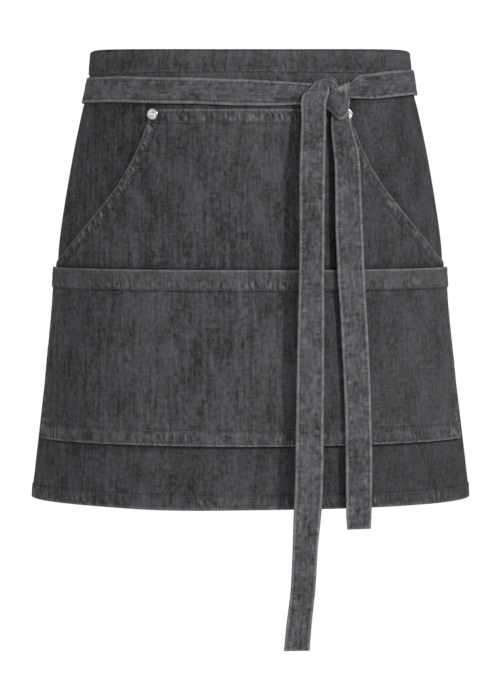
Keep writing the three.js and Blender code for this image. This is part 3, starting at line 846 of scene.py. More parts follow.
# Share of the light dye in the middle of the tone, and the gains of the dark and the light dye
MIDDLE_SHARE = 0.42
DARK_GAIN = 0.42
LIGHT_GAIN = 1.85
INSIDE_GAIN = 2.1
COOL_TINT = (0.93, 0.91, 1.10, 1.0)


def painted_side_light(m, cloth, side_light_and_contrast):
    """Painted side light and shade: the apron is a little paler towards -X, most on the lower pocket, and
    darker towards +X.
    """
    place = m.split(cloth)
    across, height = place["X"], place["Y"]
    paler = m.times(m.fit(across, -0.2, -0.1, 0.0, 0.12 * side_light_and_contrast), m.fit(height, -0.2, -0.14, 1.0, 0.35))
    return m.add(paler, m.fit(across, 0.0, 0.1, 0.0, -0.17 * side_light_and_contrast))


def denim_tone(m, cloth, patterns, streaks, side_light_and_contrast):
    """Share of the light dye: every pattern weighted, with less contrast towards +X, plus painted side light
    and shade.
    """
    even_from, even_to = -0.02, 0.12
    across = m.split(cloth)["X"]
    streak_weight = m.fit(across, even_from, even_to, STREAK_WEIGHT * streaks,
                          (STREAK_WEIGHT - 0.7 * side_light_and_contrast) * streaks)
    tone = m.add(m.centred(patterns["slub"], 1.0), m.centred(patterns["streak"], streak_weight))
    for key, weight in TONE_WEIGHTS.items():
        tone = m.add(tone, m.centred(patterns[key], weight))
    tone = m.times(tone, m.fit(across, even_from, even_to, 1.06, 1.06 - 0.26 * side_light_and_contrast))
    return m.add(tone, m.add(painted_side_light(m, cloth, side_light_and_contrast), MIDDLE_SHARE), clamp=True)


def denim_material(name, colour, streaks=1.0, side_light_and_contrast=1.0):
    """Washed denim: twill, slubs in both yarn directions, cloudy dye, rubbed folds, and painted light and
    shade carried with the wear and towards the sides.
    """
    m = NodeMaker(name)
    cloth = m.attribute("cloth", vector=True)
    rope_place = m.attribute("rope", vector=True)
    roping = m.centred(m.noise(rope_place, *ROPING_NOISE), m.split(rope_place)["Z"])
    wear_and_painted_shading = m.add(m.attribute("wear_and_painted_shading"), m.times(roping, ROPING_WEAR))
    patterns = {key: m.noise(cloth, *row) for key, row in DENIM_NOISE.items()}
    slub, blotch, cloud = patterns["slub"], patterns["blotch"], patterns["cloud"]
    twill = m.wave(m.scaled(cloth, (1.0, 1.0, 0.0), TWILL_TURN), TWILL_LINES, TWILL_WANDER)
    patterns["twill"] = twill

    share = denim_tone(m, cloth, patterns, streaks, side_light_and_contrast)
    base = m.mix(share, opaque(colour, DARK_GAIN), opaque(colour, LIGHT_GAIN))
    base = m.mix(m.times(m.fit(cloud, 0.5, 0.68), 0.55), base, COOL_TINT, "MULTIPLY")
    base = m.mix(m.times(m.attribute("inside"), 0.35), base, opaque(colour, INSIDE_GAIN))
    speckle = m.fit(m.add(m.times(slub, 0.6), m.times(blotch, 0.4)), 0.3, 0.7, 0.45, 1.15)
    rubbed = m.times(m.math("MAXIMUM", wear_and_painted_shading, 0.0), speckle, clamp=True)
    base = m.mix(rubbed, base, opaque(colours().worn))
    kept = m.times(m.math("MAXIMUM", m.times(wear_and_painted_shading, -1.0), 0.0), 0.9, clamp=True)
    base = m.mix(kept, base, opaque(colours().deep))
    m.put(m.surface.inputs["Base Color"], base)

    m.put(m.surface.inputs["Roughness"], m.fit(share, 0.0, 1.0, 0.97, 0.88))
    m.surface.inputs["Specular IOR Level"].default_value = 0.2
    m.surface.inputs["Sheen Weight"].default_value = 0.02
    m.surface.inputs["Sheen Roughness"].default_value = 0.6
    height = m.add(m.times(slub, 0.6), m.times(twill, 0.45))
    height = m.add(height, m.times(patterns["weft"], 0.3))
    height = m.add(height, m.times(roping, ROPING_BUMP))
    m.bump(height, 0.00045, 0.7)
    return m.material


def thread_material(name, colour):
    """Matt spun thread, a little different from stitch to stitch."""
    m = NodeMaker(name)
    shade = m.attribute("shade")
    position = m.tree.nodes.new("ShaderNodeTexCoord").outputs["Object"]
    fuzz = m.noise(position, (2200, 2200, 2200), 2.0)
    share = m.add(m.times(shade, 0.6), m.times(fuzz, 0.4), clamp=True)
    m.put(m.surface.inputs["Base Color"], m.mix(share, opaque(colour, 0.6), opaque(colour, 1.4)))
    m.put(m.surface.inputs["Roughness"], m.fit(fuzz, 0.3, 0.7, 0.75, 0.9))
    m.surface.inputs["Specular IOR Level"].default_value = 0.25
    m.bump(fuzz, 0.0001, 0.5)
    return m.material


def metal_material(name, colour):
    """Bright nickel with fine marks from handling."""
    m = NodeMaker(name)
    position = m.tree.nodes.new("ShaderNodeTexCoord").outputs["Object"]
    marks = m.noise(position, (900, 900, 2600), 3.0)
    film = m.noise(position, (260, 260, 260), 2.0)
    m.put(m.surface.inputs["Base Color"], m.mix(film, opaque(colour, 0.86), opaque(colour, 1.08)))
    m.surface.inputs["Metallic"].default_value = 1.0
    m.put(m.surface.inputs["Roughness"], m.fit(marks, 0.3, 0.7, 0.24, 0.38))
    m.bump(marks, 0.00004, 0.35)
    return m.material


def material(name, maker, colour, *more):
    found = bpy.data.materials.get(name)
    return found or maker(name, tuple(colour), *more)


def finish_piece(obj, slot, paint, *nodes):
    """Gives a piece its material and its body, and hides the solids it stands for."""
    obj.data.materials.append(paint)
    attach(obj, "root")
    if nodes:
        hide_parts(*nodes)


def cloth_paint():
    return material("washed_denim", denim_material, colours().denim)


def tie_paint():
    return material("washed_tie_denim", denim_material, colours().tie_denim, 0.7, 0.0)


def thread_paint():
    return material("sewing_thread", thread_material, colours().thread)


# Layers of cloth over the body form: offsets of their faces
PANEL_OUTER = 0.0
HAND_INNER = 0.45 * MM
HAND_OUTER = 1.3 * MM
LOWER_INNER = 1.9 * MM
LOWER_OUTER = 2.8 * MM
BAND_INNER = 0.35 * MM
BAND_OUTER = 1.25 * MM

# Rows of stitches and turned hems: distance from the edge, and of the divider from the middle
EDGE_ROW = 1.8 * MM
HEM_ROW = 9.5 * MM
FOOT_ROW = 12.6 * MM
SIDE_HEM = 9 * MM
SIDE_ROW = 8 * MM
DIVIDER_ACROSS = 0.111


def pocket_seam_lines(form):
    """Lines of the stitch rows that fix the pockets to the panel."""
    s = sizes()
    margin = 1.5 * MM
    short_of_edge = 0.012
    foot = s.pocket_foot
    corner = float(pocket_side(np.array(foot + FOOT_ROW)))
    band_row = s.lower_pocket_top - s.mouth_band_depth + 1.2 * MM
    lines = {
        "top_edge": level_line(form, s.hand_pocket_top - EDGE_ROW, s.pocket_top_angle - short_of_edge),
        "top_hem": level_line(form, s.hand_pocket_top - HEM_ROW - margin, s.pocket_top_angle - 0.055),
        "opening_edge": side_line(form, s.hand_pocket_top - margin, s.lower_pocket_top, EDGE_ROW),
        "opening_hem": side_line(form, s.hand_pocket_top - HEM_ROW, s.opening_foot + 3 * MM, SIDE_ROW),
        "side_edge": side_line(form, s.lower_pocket_top - margin, foot + margin, EDGE_ROW, 30),
        "side_hem": side_line(form, s.lower_pocket_top - margin, foot + margin, SIDE_ROW, 30),
        "foot_edge": level_line(form, foot + EDGE_ROW, s.pocket_foot_angle - short_of_edge),
        "foot_hem": level_line(form, foot + FOOT_ROW, corner - short_of_edge),
        "mouth": level_line(form, band_row, s.pocket_side_angle - 0.02),
    }
    heights = np.linspace(s.lower_pocket_top - 1 * MM, foot + EDGE_ROW, 40)
    lines["middle"] = ClothLine(form, np.zeros(40), heights)
    lines["divider"] = ClothLine(form, form.angle_of(DIVIDER_ACROSS, heights, 0), heights)
    return lines


def panel_face(form):
    s = sizes()
    wrap = s.wrap_angle
    thickness = detail().cloth_thickness
    hem = s.hem_height
    heights = np.linspace(s.top_height, hem, 60)
    side_edge = ClothLine(form, wrap, heights, mirrored=True)
    hem_edge = level_line(form, hem, wrap)
    hem_row = level_line(form, hem + s.hem_depth, wrap - 0.01)
    side_u = form.arc(wrap, heights) - SIDE_HEM + 1.2 * MM
    side_row = ClothLine(form, form.angle_at_arc(side_u, heights), heights, mirrored=True)
    face = ClothFace(
        form, PANEL_OUTER, PANEL_OUTER - thickness, [side_edge, hem_edge],
        hems=[(hem_edge, s.hem_depth + 1.0 * MM, 0.9 * MM, 0.10), (side_edge, SIDE_HEM, 0.4 * MM, 0.06)],
        seams=[
            Seam(hem_row, pucker=1.4, reach=7 * MM, skew=0.15, worn=0.17, seed=1, rope=0.95, dark=0.35,
                 rope_at=-5.5 * MM, rope_reach=5 * MM),
            Seam(side_row, pucker=0.8, reach=4 * MM, skew=0.3, worn=0.15, seed=2, rope=0.6),
        ], seed=1)
    return face, {"hem": hem_row, "side": side_row}


def tie_foot(angle):
    """Height of the ties' lower edge in front of the body."""
    rows = sorted((a if a < 180 else a - 360, height) for a, height, _ in SHORT_RUN[-4:] + LONG_RUN[-3:])
    angles, heights = zip(*rows)
    return (np.interp(np.degrees(angle), angles, heights) - 0.5) * sizes().tie_width


# Painted shade on the panel beside and under the pockets' edges and under the ties: strength and reach of
# each dark band
SHADE_BESIDE_POCKET = ((0.5, 1.8 * MM), (0.16, 8 * MM))
SHADE_UNDER_POCKET = ((0.75, 1.5 * MM), (0.1, 7 * MM))
SHADE_UNDER_TIES = ((0.55, 1.7 * MM),)
# How much darker the panel is below the pockets' foot
DARKER_BELOW_POCKETS = 0.15
OPENING_MIDDLE = -0.095
HEM_SAG = 1.3 * MM
SAG_ANGLE = -0.38


def panel_press(form):
    """How the panel sinks in the hand openings, where shade is painted on it beside and under the pockets and
    under the ties, where it is darker below the pockets, and where light is painted under the band's foot and
    the panel is paler above the ties.
    """
    s = sizes()
    side_edge = side_line(form, s.hand_pocket_top, s.pocket_foot, 0.0, 140)
    band_foot = s.top_height - s.waistband_depth

    def press(u, z, angle):
        beyond = smoothstep(-0.02, 0.1, np.abs(angle) - pocket_side(z))
        sunk = -0.6 * MM * beyond * bell(z - OPENING_MIDDLE, 0.04)
        below = np.maximum(s.pocket_foot - z, 0)
        # Painted shade beside and under the pockets' edges and under the ties, and darker below the pockets'
        # foot
        kept = bells(np.abs(side_edge.measure(u, z)[0]), SHADE_BESIDE_POCKET)
        kept = kept + np.where(z < s.pocket_foot, bells(below, SHADE_UNDER_POCKET), 0)
        kept = kept + bells(z - tie_foot(angle) + 0.8 * MM, SHADE_UNDER_TIES)
        kept = kept + DARKER_BELOW_POCKETS * smoothstep(s.pocket_foot + 20 * MM, s.pocket_foot - 5 * MM, z)
        # Painted light under the band's foot that lifts its shade, and a paler panel above the ties
        rubbed = 0.12 * bell(band_foot - 0.8 * MM - z, 1.6 * MM) + 0.12 * smoothstep(0.0, 8 * MM, z)
        return sunk, sunk, rubbed - kept - 0.05
    return press


def panel_dip(height, angle):
    """How far the panel's rows lie lower: the dip of the top edge and a slight sag of the hem."""
    s = sizes()
    near_top = np.clip(1 - (s.top_height - height) / s.waistband_depth, 0, 1)
    near_hem = smoothstep(s.hem_height + 60 * MM, s.hem_height, height)
    sag = HEM_SAG * near_hem * bell(angle - SAG_ANGLE, 0.3)
    return s.top_dip * near_top * np.cos(angle) ** 2 + sag


class APRON_OT_panel(Operator):
    """Build the wrapped panel with its hems and the backs of the seams sewn to it"""

    bl_idname = "apron.panel"
    bl_label = "Panel"

    def execute(self, context):
        s = sizes()
        form = BodyForm()
        face, rows = panel_face(form)
        face.extra.append(panel_press(form))
        top = s.top_height - BAND_OUTER - 0.3 * MM
        width = 2 * float(form.arc(s.wrap_angle, s.hem_height))
        share = edge_graded(int(width / detail().column_width), width)
        hem_row = s.hem_height + s.hem_depth
        z = edge_rows(graded(s.hem_height, top, 3.2 * MM, fine=[hem_row], fine_step=1 * MM, reach=6 * MM))

        def wrap(z):
            return np.full(z.shape, s.wrap_angle)

        panel = cloth_piece("panel_cloth", face, share, z, wrap, panel_dip)
        both = (-1, 1)
        sewn = [row_stitches(rows["hem"], face.outer_point, form),
                row_stitches(rows["hem"], face.inner_point, form, outward=-1)]
        sewn += [row_stitches(rows["side"], face.outer_point, form, both),
                 row_stitches(rows["side"], face.inner_point, form, both, outward=-1)]
        for key, line in pocket_seam_lines(form).items():
            sides = both if line.mirrored else (1,)
            if key != "mouth":
                sewn.append(row_stitches(line, face.inner_point, form, sides, outward=-1))
        thread = thread_mesh("panel_thread", *join_stitches(sewn), seed=1)
        finish_piece(panel, "denim", cloth_paint(), "apron_panel")
        finish_piece(thread, "denim", thread_paint())
        return {"FINISHED"}


class FoldedBand:
    """Section and surface of the band folded over the top edge.

    The section runs from the outer foot over the fold to the inner foot, and back inside the cloth.
    """

    outside = BAND_OUTER + 0.1 * MM
    row_inset = 1.9 * MM
    # Heights over the foot, closer together round the row of stitches
    levels = np.concatenate([
        [0.1, 0.4, 0.8, 1.2, 1.6, 1.9, 2.2, 2.6, 3.2, 4.0], np.arange(5.2, 19.6, 1.4), [20.2]]) * MM
    turn = np.radians(np.linspace(8, 172, 11))
    groove_depth = 0.28 * MM
    slack = 0.25 * MM
    foot_round = 0.6 * MM
    foot_flush = 0.7 * MM

    def __init__(self):
        s, d = sizes(), detail()
        self.top = s.top_height
        self.foot = self.top - s.waistband_depth
        self.row_height = self.foot + self.row_inset
        self.inside = PANEL_OUTER - d.cloth_thickness - BAND_INNER - 0.9 * MM
        self.middle = (self.outside + self.inside) / 2
        self.noise = ValueNoise(d.seed + 61)
        thin = d.cloth_thickness * 0.92
        up = self.foot + self.levels
        skin = [(h, self.outside) for h in up] + self.fold(0.0) + [(h, self.inside) for h in up[::-1]]
        core = [(h, self.outside - thin) for h in up[1:]] + self.fold(thin)
        core += [(h, self.inside + thin) for h in up[:0:-1]]
        self.height, self.offset = np.array(skin + core[::-1]).T
        self.on_skin = np.arange(len(self.height)) < len(skin)

    def fold(self, thinner):
        """Half round over the top, `thinner` inside the skin."""
        half = (self.outside - self.inside) / 2
        return [(self.top - half * (1 - math.sin(a)) - thinner * math.sin(a),
                 self.middle + (half - thinner) * math.cos(a)) for a in self.turn]

    def ripple(self, u):
        """Puckers along the row of stitches."""
        broad = self.noise(u / detail().pucker_pitch, self.height / (14 * MM))
        return broad + 0.5 * self.noise(u / (3 * MM), 9 + self.height / (9 * MM))

    def lift(self, u):
        """How far each point is moved out: puckers, slack, a rounded foot that is sewn in flush."""
        from_row, from_foot = self.height - self.row_height, self.height - self.foot
        sign = np.where(self.offset > self.middle, 1.0, -1.0)
        bumps = bell(from_row, 5 * MM) * self.ripple(u) * 0.6 * detail().pucker_depth
        slack = self.slack * self.noise(u / (26 * MM), self.height / (16 * MM))
        lift = sign * (bumps - self.groove_depth * bell(from_row, 1.1 * MM)) * self.on_skin + slack
        foot_in = np.minimum(from_foot, self.foot_round) / self.foot_round
        rounded = 1 - np.sqrt(np.clip(1 - (1 - foot_in) ** 2, 0, 1))
        lift = lift - sign * rounded * 0.3 * MM * self.on_skin
        return lift - sign * self.foot_flush * smoothstep(8 * MM, 0.0, from_foot)

    def dip(self, angle):
        """How far the top edge dips, in the middle of the front and at the sides."""
        s = sizes()
        at_sides = 0.5 * bell(np.abs(angle) - math.pi / 2, 0.24)
        share = np.clip((self.height - self.foot) / s.waistband_depth, 0, 1)
        return s.top_dip * share * (np.cos(angle) ** 2 + at_sides)

    def wear_and_painted_shading(self, u):
        below_top, from_foot = self.top - self.height, self.height - self.foot
        top_wear = 0.10 * bell(below_top - 4.5 * MM, 3.5 * MM) - 0.40 * bell(below_top - 0.4 * MM, 1.0 * MM)
        foot_wear = 0.15 * bell(from_foot - 1.0 * MM, 2.2 * MM) - 0.05 * bell(from_foot - 4 * MM, 3 * MM)
        row_wear = 0.10 * bell(self.height - self.row_height, 3 * MM) * self.ripple(u)
        return 0.07 + top_wear + foot_wear + row_wear

    def mesh(self, name, form, angles):
        angle = np.repeat(angles[:, None], len(self.height), 1)
        u = form.arc(angle, np.zeros_like(angle))
        height = np.broadcast_to(self.height, u.shape)
        points = form.point(angle, height - self.dip(angle), self.offset + self.lift(u))
        rings, sides = angle.shape
        ends = end_quads(sides)
        quads = np.concatenate([ring_quads(rings, sides), ends[:, ::-1], ends + (rings - 1) * sides])
        layer = 3.0
        roping = np.broadcast_to(0.35 * bell(self.height - self.row_height, 4 * MM), u.shape)
        return new_mesh(name, points.reshape(-1, 3), quads, {
            "cloth": np.stack([u, height, np.full(u.shape, layer)], -1).reshape(-1, 3),
            "wear_and_painted_shading": np.clip(self.wear_and_painted_shading(u), -1, 1).ravel(),
            "inside": np.zeros(u.size),
            "rope": np.stack([u, height, roping], -1).reshape(-1, 3),
        })


class APRON_OT_waistband(Operator):
    """Build the band folded over the top edge, with its row of stitches"""

    bl_idname = "apron.waistband"
    bl_label = "Waistband"

    def execute(self, context):
        s = sizes()
        form = BodyForm()
        band = FoldedBand()
        count = int(2 * float(form.arc(s.wrap_angle, 0.0)) / (1.6 * MM))
        cloth = band.mesh("waistband_cloth", form, np.linspace(-s.wrap_angle, s.wrap_angle, count))
        line = level_line(form, band.row_height, s.wrap_angle - 0.012)
        row_share = 0.09

        def on_band(out):
            def place(angle, z):
                lower = s.top_dip * row_share * np.cos(angle) ** 2
                return form.point(angle, z - lower, np.full(np.shape(angle), out))
            return place

        sewn = [row_stitches(line, on_band(band.outside - 0.2 * MM), form),
                row_stitches(line, on_band(band.inside + 0.2 * MM), form, outward=-1)]
        thread = thread_mesh("waistband_thread", *join_stitches(sewn), seed=2)
        finish_piece(cloth, "denim", cloth_paint(), "waistband")
        finish_piece(thread, "denim", thread_paint())
        width = 2 * float(form.arc(s.wrap_angle, band.foot))
        return {"FINISHED"}


def rivet_dimple(form):
    """Cloth pressed in round each rivet, with shade painted round it."""
    s = sizes()
    rivet_u = float(form.arc(s.rivet_angle, s.rivet_height))

    def press(u, z, angle):
        r = np.hypot(np.abs(u) - rivet_u, z - s.rivet_height)
        sunk = -0.75 * MM * bell(r, 5.6 * MM)
        # Painted shade round the rivet
        return sunk, 0.3 * sunk, -0.5 * bell(r, 6.6 * MM)
    return press


def opening_gape(side_edge):
    """How the hand openings stand off the panel, and the shade painted above the lower pocket's mouth."""
    s = sizes()
    opening_length = side_edge.along[-1] * 0.52
    covered = s.lower_pocket_top - 2 * MM

    def gape(u, z, angle):
        distance, along = side_edge.measure(u, z)
        share = np.clip((along - 6 * MM) / opening_length, 0, 1)
        lift = detail().opening_gape * np.sin(math.pi * share) ** 1.2 * np.exp(-np.abs(distance) / (13 * MM))
        lift = lift * (1 - smoothstep(covered, covered - 8 * MM, z))
        # Painted shade on the hand pocket just above the lower pocket's mouth band
        kept = bells(z - s.lower_pocket_top, ((0.7, 1.6 * MM), (0.12, 7 * MM)))
        return lift, lift, -kept
    return gape


class APRON_OT_hand_pocket(Operator):
    """Build the hand pocket with its two curved openings"""

    bl_idname = "apron.hand_pocket"
    bl_label = "Hand pocket"

    def execute(self, context):
        s = sizes()
        form = BodyForm()
        lines = pocket_seam_lines(form)
        top_edge = level_line(form, s.hand_pocket_top, s.pocket_top_angle)
        side_edge = side_line(form, s.hand_pocket_top, s.pocket_foot, 0.0, 140)
        foot_edge = level_line(form, s.pocket_foot, s.pocket_foot_angle)
        face = ClothFace(
            form, HAND_OUTER, HAND_INNER, [top_edge, side_edge, foot_edge],
            hems=[
                (top_edge, HEM_ROW + 2.2 * MM, 0.4 * MM, 0.05),
                (side_edge, SIDE_ROW + 0.8 * MM, 0.4 * MM, 0.06),
            ],
            seams=[
                Seam(lines["top_edge"], pucker=0.4, depth=0.2 * MM, reach=3 * MM, worn=0.10, seed=11,
                     rope=0.6),
                Seam(lines["top_hem"], pucker=0.85, depth=0.3 * MM, reach=6 * MM, skew=0.1, worn=0.16,
                     seed=12, rope=0.9, rope_at=4.5 * MM, rope_reach=4.5 * MM),
                Seam(lines["opening_edge"], pucker=0.5, depth=0.2 * MM, reach=3 * MM, worn=0.10, seed=13,
                     rope=0.5),
                Seam(lines["opening_hem"], pucker=1.1, depth=0.34 * MM, reach=5.5 * MM, skew=0.4, worn=0.26,
                     seed=14, rope=1.1, dark=0.25, rope_at=3 * MM, rope_reach=4.5 * MM),
            ], seed=2)
        face.extra += [opening_gape(side_edge), rivet_dimple(form)]
        width = 2 * float(form.arc(s.pocket_side_angle, s.opening_foot))
        share = edge_graded(int(width / detail().column_width), width)
        fine = [s.hand_pocket_top - HEM_ROW, s.opening_foot + 4 * MM, s.opening_foot + 12 * MM]
        z = edge_rows(graded(s.pocket_foot, s.hand_pocket_top, 2.4 * MM, fine=fine, reach=6 * MM))
        pocket = cloth_piece("hand_pocket_cloth", face, share, z, pocket_side)
        sewn = []
        for key in ("top_edge", "top_hem", "opening_edge", "opening_hem"):
            sides = (-1, 1) if lines[key].mirrored else (1,)
            sewn.append(row_stitches(lines[key], face.outer_point, form, sides))
        thread = thread_mesh("hand_pocket_thread", *join_stitches(sewn), seed=3)
        finish_piece(pocket, "denim", cloth_paint(), "hand_pocket")
        finish_piece(thread, "denim", thread_paint())
        return {"FINISHED"}


def tack_stitches(form, place, across, z):
    """Close zigzag of a bar tack: short stitches side by side."""
    count = 9
    height = 5.5 * MM
    width = 2.2 * MM
    steps = z + height * (np.arange(count) / (count - 1) - 0.5)
    parts = [place(form.angle_of(across + shift * width, steps, 0), steps) for shift in (-0.5, 0, 0.5)]
    return (*parts, form.outward(form.angle_of(np.full(count, across), steps, 0), steps))


def mouth_band(form, band_foot):
    """The turned band at the mouth is thick and stands off a little between the seams."""
    s = sizes()
    side_u = float(form.arc(s.pocket_side_angle, s.lower_pocket_top))

    def stand_off(u, z, angle):
        inside = smoothstep(band_foot - 0.5 * MM, band_foot + 0.5 * MM, z)
        settle = smoothstep(band_foot - 14 * MM, band_foot, z)
        held = np.minimum(np.minimum(np.abs(u), np.abs(u - DIVIDER_ACROSS)), side_u - np.abs(u))
        up = smoothstep(band_foot, s.lower_pocket_top, z)
        stand = 0.35 * MM * settle + 0.5 * MM * up * smoothstep(0, 0.05, held)
        step = bell(z - band_foot + 0.6 * MM, 0.9 * MM)
        return stand + 1.15 * MM * inside, stand, 0.17 * inside - 0.55 * step
    return stand_off


class APRON_OT_lower_pocket(Operator):
    """Build the lower pocket with its mouth band, dividers and tacks"""

    bl_idname = "apron.lower_pocket"
    bl_label = "Lower pocket"

    def execute(self, context):
        s = sizes()
        form = BodyForm()
        lines = pocket_seam_lines(form)
        top_edge = level_line(form, s.lower_pocket_top, s.pocket_side_angle)
        side_edge = side_line(form, s.lower_pocket_top, s.pocket_foot, 0.0, 30)
        foot_edge = level_line(form, s.pocket_foot, s.pocket_foot_angle)
        band_foot = s.lower_pocket_top - s.mouth_band_depth
        face = ClothFace(
            form, LOWER_OUTER, LOWER_INNER, [top_edge, side_edge, foot_edge],
            hems=[
                (side_edge, SIDE_ROW + 0.8 * MM, 0.35 * MM, 0.07),
                (foot_edge, FOOT_ROW + 1 * MM, 0.4 * MM, 0.05),
            ],
            seams=[
                Seam(lines["mouth"], pucker=0.75, depth=0.35 * MM, reach=5 * MM, skew=0.1, worn=0.16, seed=21,
                     rope=0.7, dark=0.2, rope_at=4 * MM),
                Seam(lines["side_edge"], pucker=0.5, depth=0.22 * MM, reach=3 * MM, worn=0.12, seed=22,
                     rope=0.7),
                Seam(lines["side_hem"], pucker=1.0, depth=0.3 * MM, reach=5 * MM, skew=0.3, worn=0.2, seed=23,
                     rope=0.8, rope_at=3 * MM, rope_reach=4 * MM),
                Seam(lines["foot_edge"], pucker=0.8, depth=0.25 * MM, reach=4 * MM, skew=0.1, worn=0.2,
                     seed=24, rope=0.5),
                Seam(lines["foot_hem"], pucker=1.1, depth=0.34 * MM, reach=6 * MM, skew=0.1, worn=0.2,
                     seed=25, rope=1.15, dark=0.25, rope_at=-6 * MM, rope_reach=4.8 * MM),
                Seam(lines["middle"], pucker=0.45, depth=0.4 * MM, reach=4 * MM, worn=0.05, seed=26, rope=0.3,
                     dark=0.4),
                Seam(lines["divider"], pucker=0.4, depth=0.28 * MM, reach=4 * MM, worn=0.04, seed=27,
                     rope=0.3, dark=0.3),
            ], seed=3)
        face.extra.append(mouth_band(form, band_foot))
        width = 2 * float(form.arc(s.pocket_side_angle, s.opening_foot))
        share = edge_graded(int(width / detail().column_width), width)
        fine = [band_foot, s.pocket_foot + FOOT_ROW, s.pocket_foot + EDGE_ROW]
        z = edge_rows(graded(s.pocket_foot, s.lower_pocket_top, 2.4 * MM, fine=fine, fine_step=0.7 * MM,
                             reach=4 * MM))
        pocket = cloth_piece("lower_pocket_cloth", face, share, z, pocket_side)
        sewn = []
        for key in ("mouth", "side_edge", "side_hem", "foot_edge", "foot_hem", "middle", "divider"):
            sides = (-1, 1) if lines[key].mirrored else (1,)
            sewn.append(row_stitches(lines[key], face.outer_point, form, sides))
        tack_height = s.pocket_foot + 7.5 * MM
        sewn += [tack_stitches(form, face.outer_point, across, tack_height) for across in (1 * MM, 4.6 * MM)]
        thread = thread_mesh("lower_pocket_thread", *join_stitches(sewn), seed=4)
        finish_piece(pocket, "denim", cloth_paint(), "lower_pocket")
        finish_piece(thread, "denim", thread_paint())
        return {"FINISHED"}


# Ties: offsets of their middle plane outside the panel
TIE_THICKNESS = 1.8 * MM
SEWN_MID = 0.35 * MM + TIE_THICKNESS / 2
RUN_MID = SEWN_MID + 0.15 * MM
LAYER_STEP = TIE_THICKNESS + 0.4 * MM
OVER_SEWN_MID = SEWN_MID + TIE_THICKNESS + 0.8 * MM
OVER_BAND_MID = 2 * 0.35 * MM + 0.9 * MM + TIE_THICKNESS / 2
KNOT_JOIN = 1.35

# Runs round the waist: angle in degrees, height in tie widths, offset of the middle plane
SHORT_RUN = [
    (110, 0, SEWN_MID), (116, 0, SEWN_MID), (140, -0.56, SEWN_MID), (195, -0.56, SEWN_MID),
    (218, -0.56, OVER_SEWN_MID), (241, -0.17, OVER_SEWN_MID), (254, -0.06, OVER_SEWN_MID),
    (274, -0.04, RUN_MID), (303, -0.06, RUN_MID), (336, -0.16, RUN_MID), (360, -0.25, RUN_MID),
]
LONG_RUN = [
    (250, 0, SEWN_MID), (244, 0, SEWN_MID), (220, 0.56, SEWN_MID), (165, 0.56, SEWN_MID),
    (142, 0.56, OVER_SEWN_MID), (119, 0.4, OVER_SEWN_MID), (106, 0.3, OVER_SEWN_MID),
    (90, 0.26, OVER_BAND_MID), (76, 0.26, OVER_BAND_MID), (60, 0.17, OVER_BAND_MID),
]
LONG_RUN_END = (0.07, OVER_BAND_MID)

# Knot, in tie widths from the knot point: edge a, edge b, layers out at each, lean in degrees,
# and where one is given the share of the tail's stand-off
SHORT_KNOT = [
    (-2.4, 0.2, -2.4, -0.75, 0, 0, 0), (-1.4, 0.14, -1.4, -0.7, 0, 0, 0),
    (-0.87, 0.09, -0.87, -0.78, 0, 0, 0), (-0.52, -0.01, -0.52, -0.82, 0.05, 0.7, 0),
    (-0.26, -0.16, -0.3, -0.95, 1.95, 1.95, 0), (-0.14, -0.2, -0.17, -1.08, 2.15, 2.5, 0),
    (-0.1, -0.22, 0.01, -1.35, 2.15, 2.9, 0), (-0.07, -0.22, 0.1, -1.35, 2.15, 2.9, 0),
    (-0.04, -0.22, 0.43, -1.07, 2.15, 2.9, 0), (-0.04, -0.21, 0.46, -0.55, 2.15, 2.6, 0),
    (-0.1, -0.2, 0.5, 0.1, 2.05, 2.05, 0), (-0.13, -0.14, 0.49, 0.17, 1.742, 1.742, 45),
    (-0.14, -0.11, 0.48, 0.2, 1.0, 1.0, 90), (-0.13, -0.14, 0.49, 0.17, 0.258, 0.258, 135),
    (0.0, -0.16, 0.52, 0.07, 0, 0, 180), (-0.06, -0.52, 0.52, -0.5, 0.15, 0.15, 180),
    (-0.12, -0.66, 0.5, -0.65, 0.65, 0.75, 180), (-0.16, -0.8, 0.47, -0.8, 1.5, 1.85, 180),
    (-0.23, -1.1, 0.46, -1.08, 1.8, 2.15, 180),
]
LONG_KNOT = [
    (KNOT_JOIN, 0.53, KNOT_JOIN, -0.46, 0.6, 0.6, 0), (1.0, 0.49, 1.0, -0.45, 0.1, 0.1, 0),
    (0.78, 0.4, 0.76, -0.45, 0.85, 0.85, 0), (0.58, 0.2, 0.52, -0.44, 1, 1, 0),
    (0.32, -0.05, 0.24, -0.42, 1, 1, 0), (0.06, -0.14, 0.0, -0.4, 1, 1, 0),
    (-0.05, 0.3, -0.12, -0.28, 1.6, 1.5, 0), (-0.27, 0.38, -0.26, -0.12, 1.9, 1.8, 0),
    (-0.5, 0.34, -0.37, 0.14, 1.8, 2.3, 0), (-0.77, 0.27, -0.37, 0.13, 1.6, 2.9, 0),
    (-1.06, -0.08, -0.3, -0.12, 1.2, 2.9, 0, 0.05), (-1.33, -0.3, -0.37, -0.4, 1.1, 2.8, 0, 0.2),
    (-1.42, -0.66, -0.44, -0.7, 1.1, 2.4, 0, 0.48),
]

# Knot rows between which edge a and edge b keep less of their pale edge wear
DULL_EDGE_ROWS = {
    "tie_short": ([(4, 9)], [(4, 6), (9, 12)]),
    "tie_long": ([(8, 11)], [(4, 5)]),
}

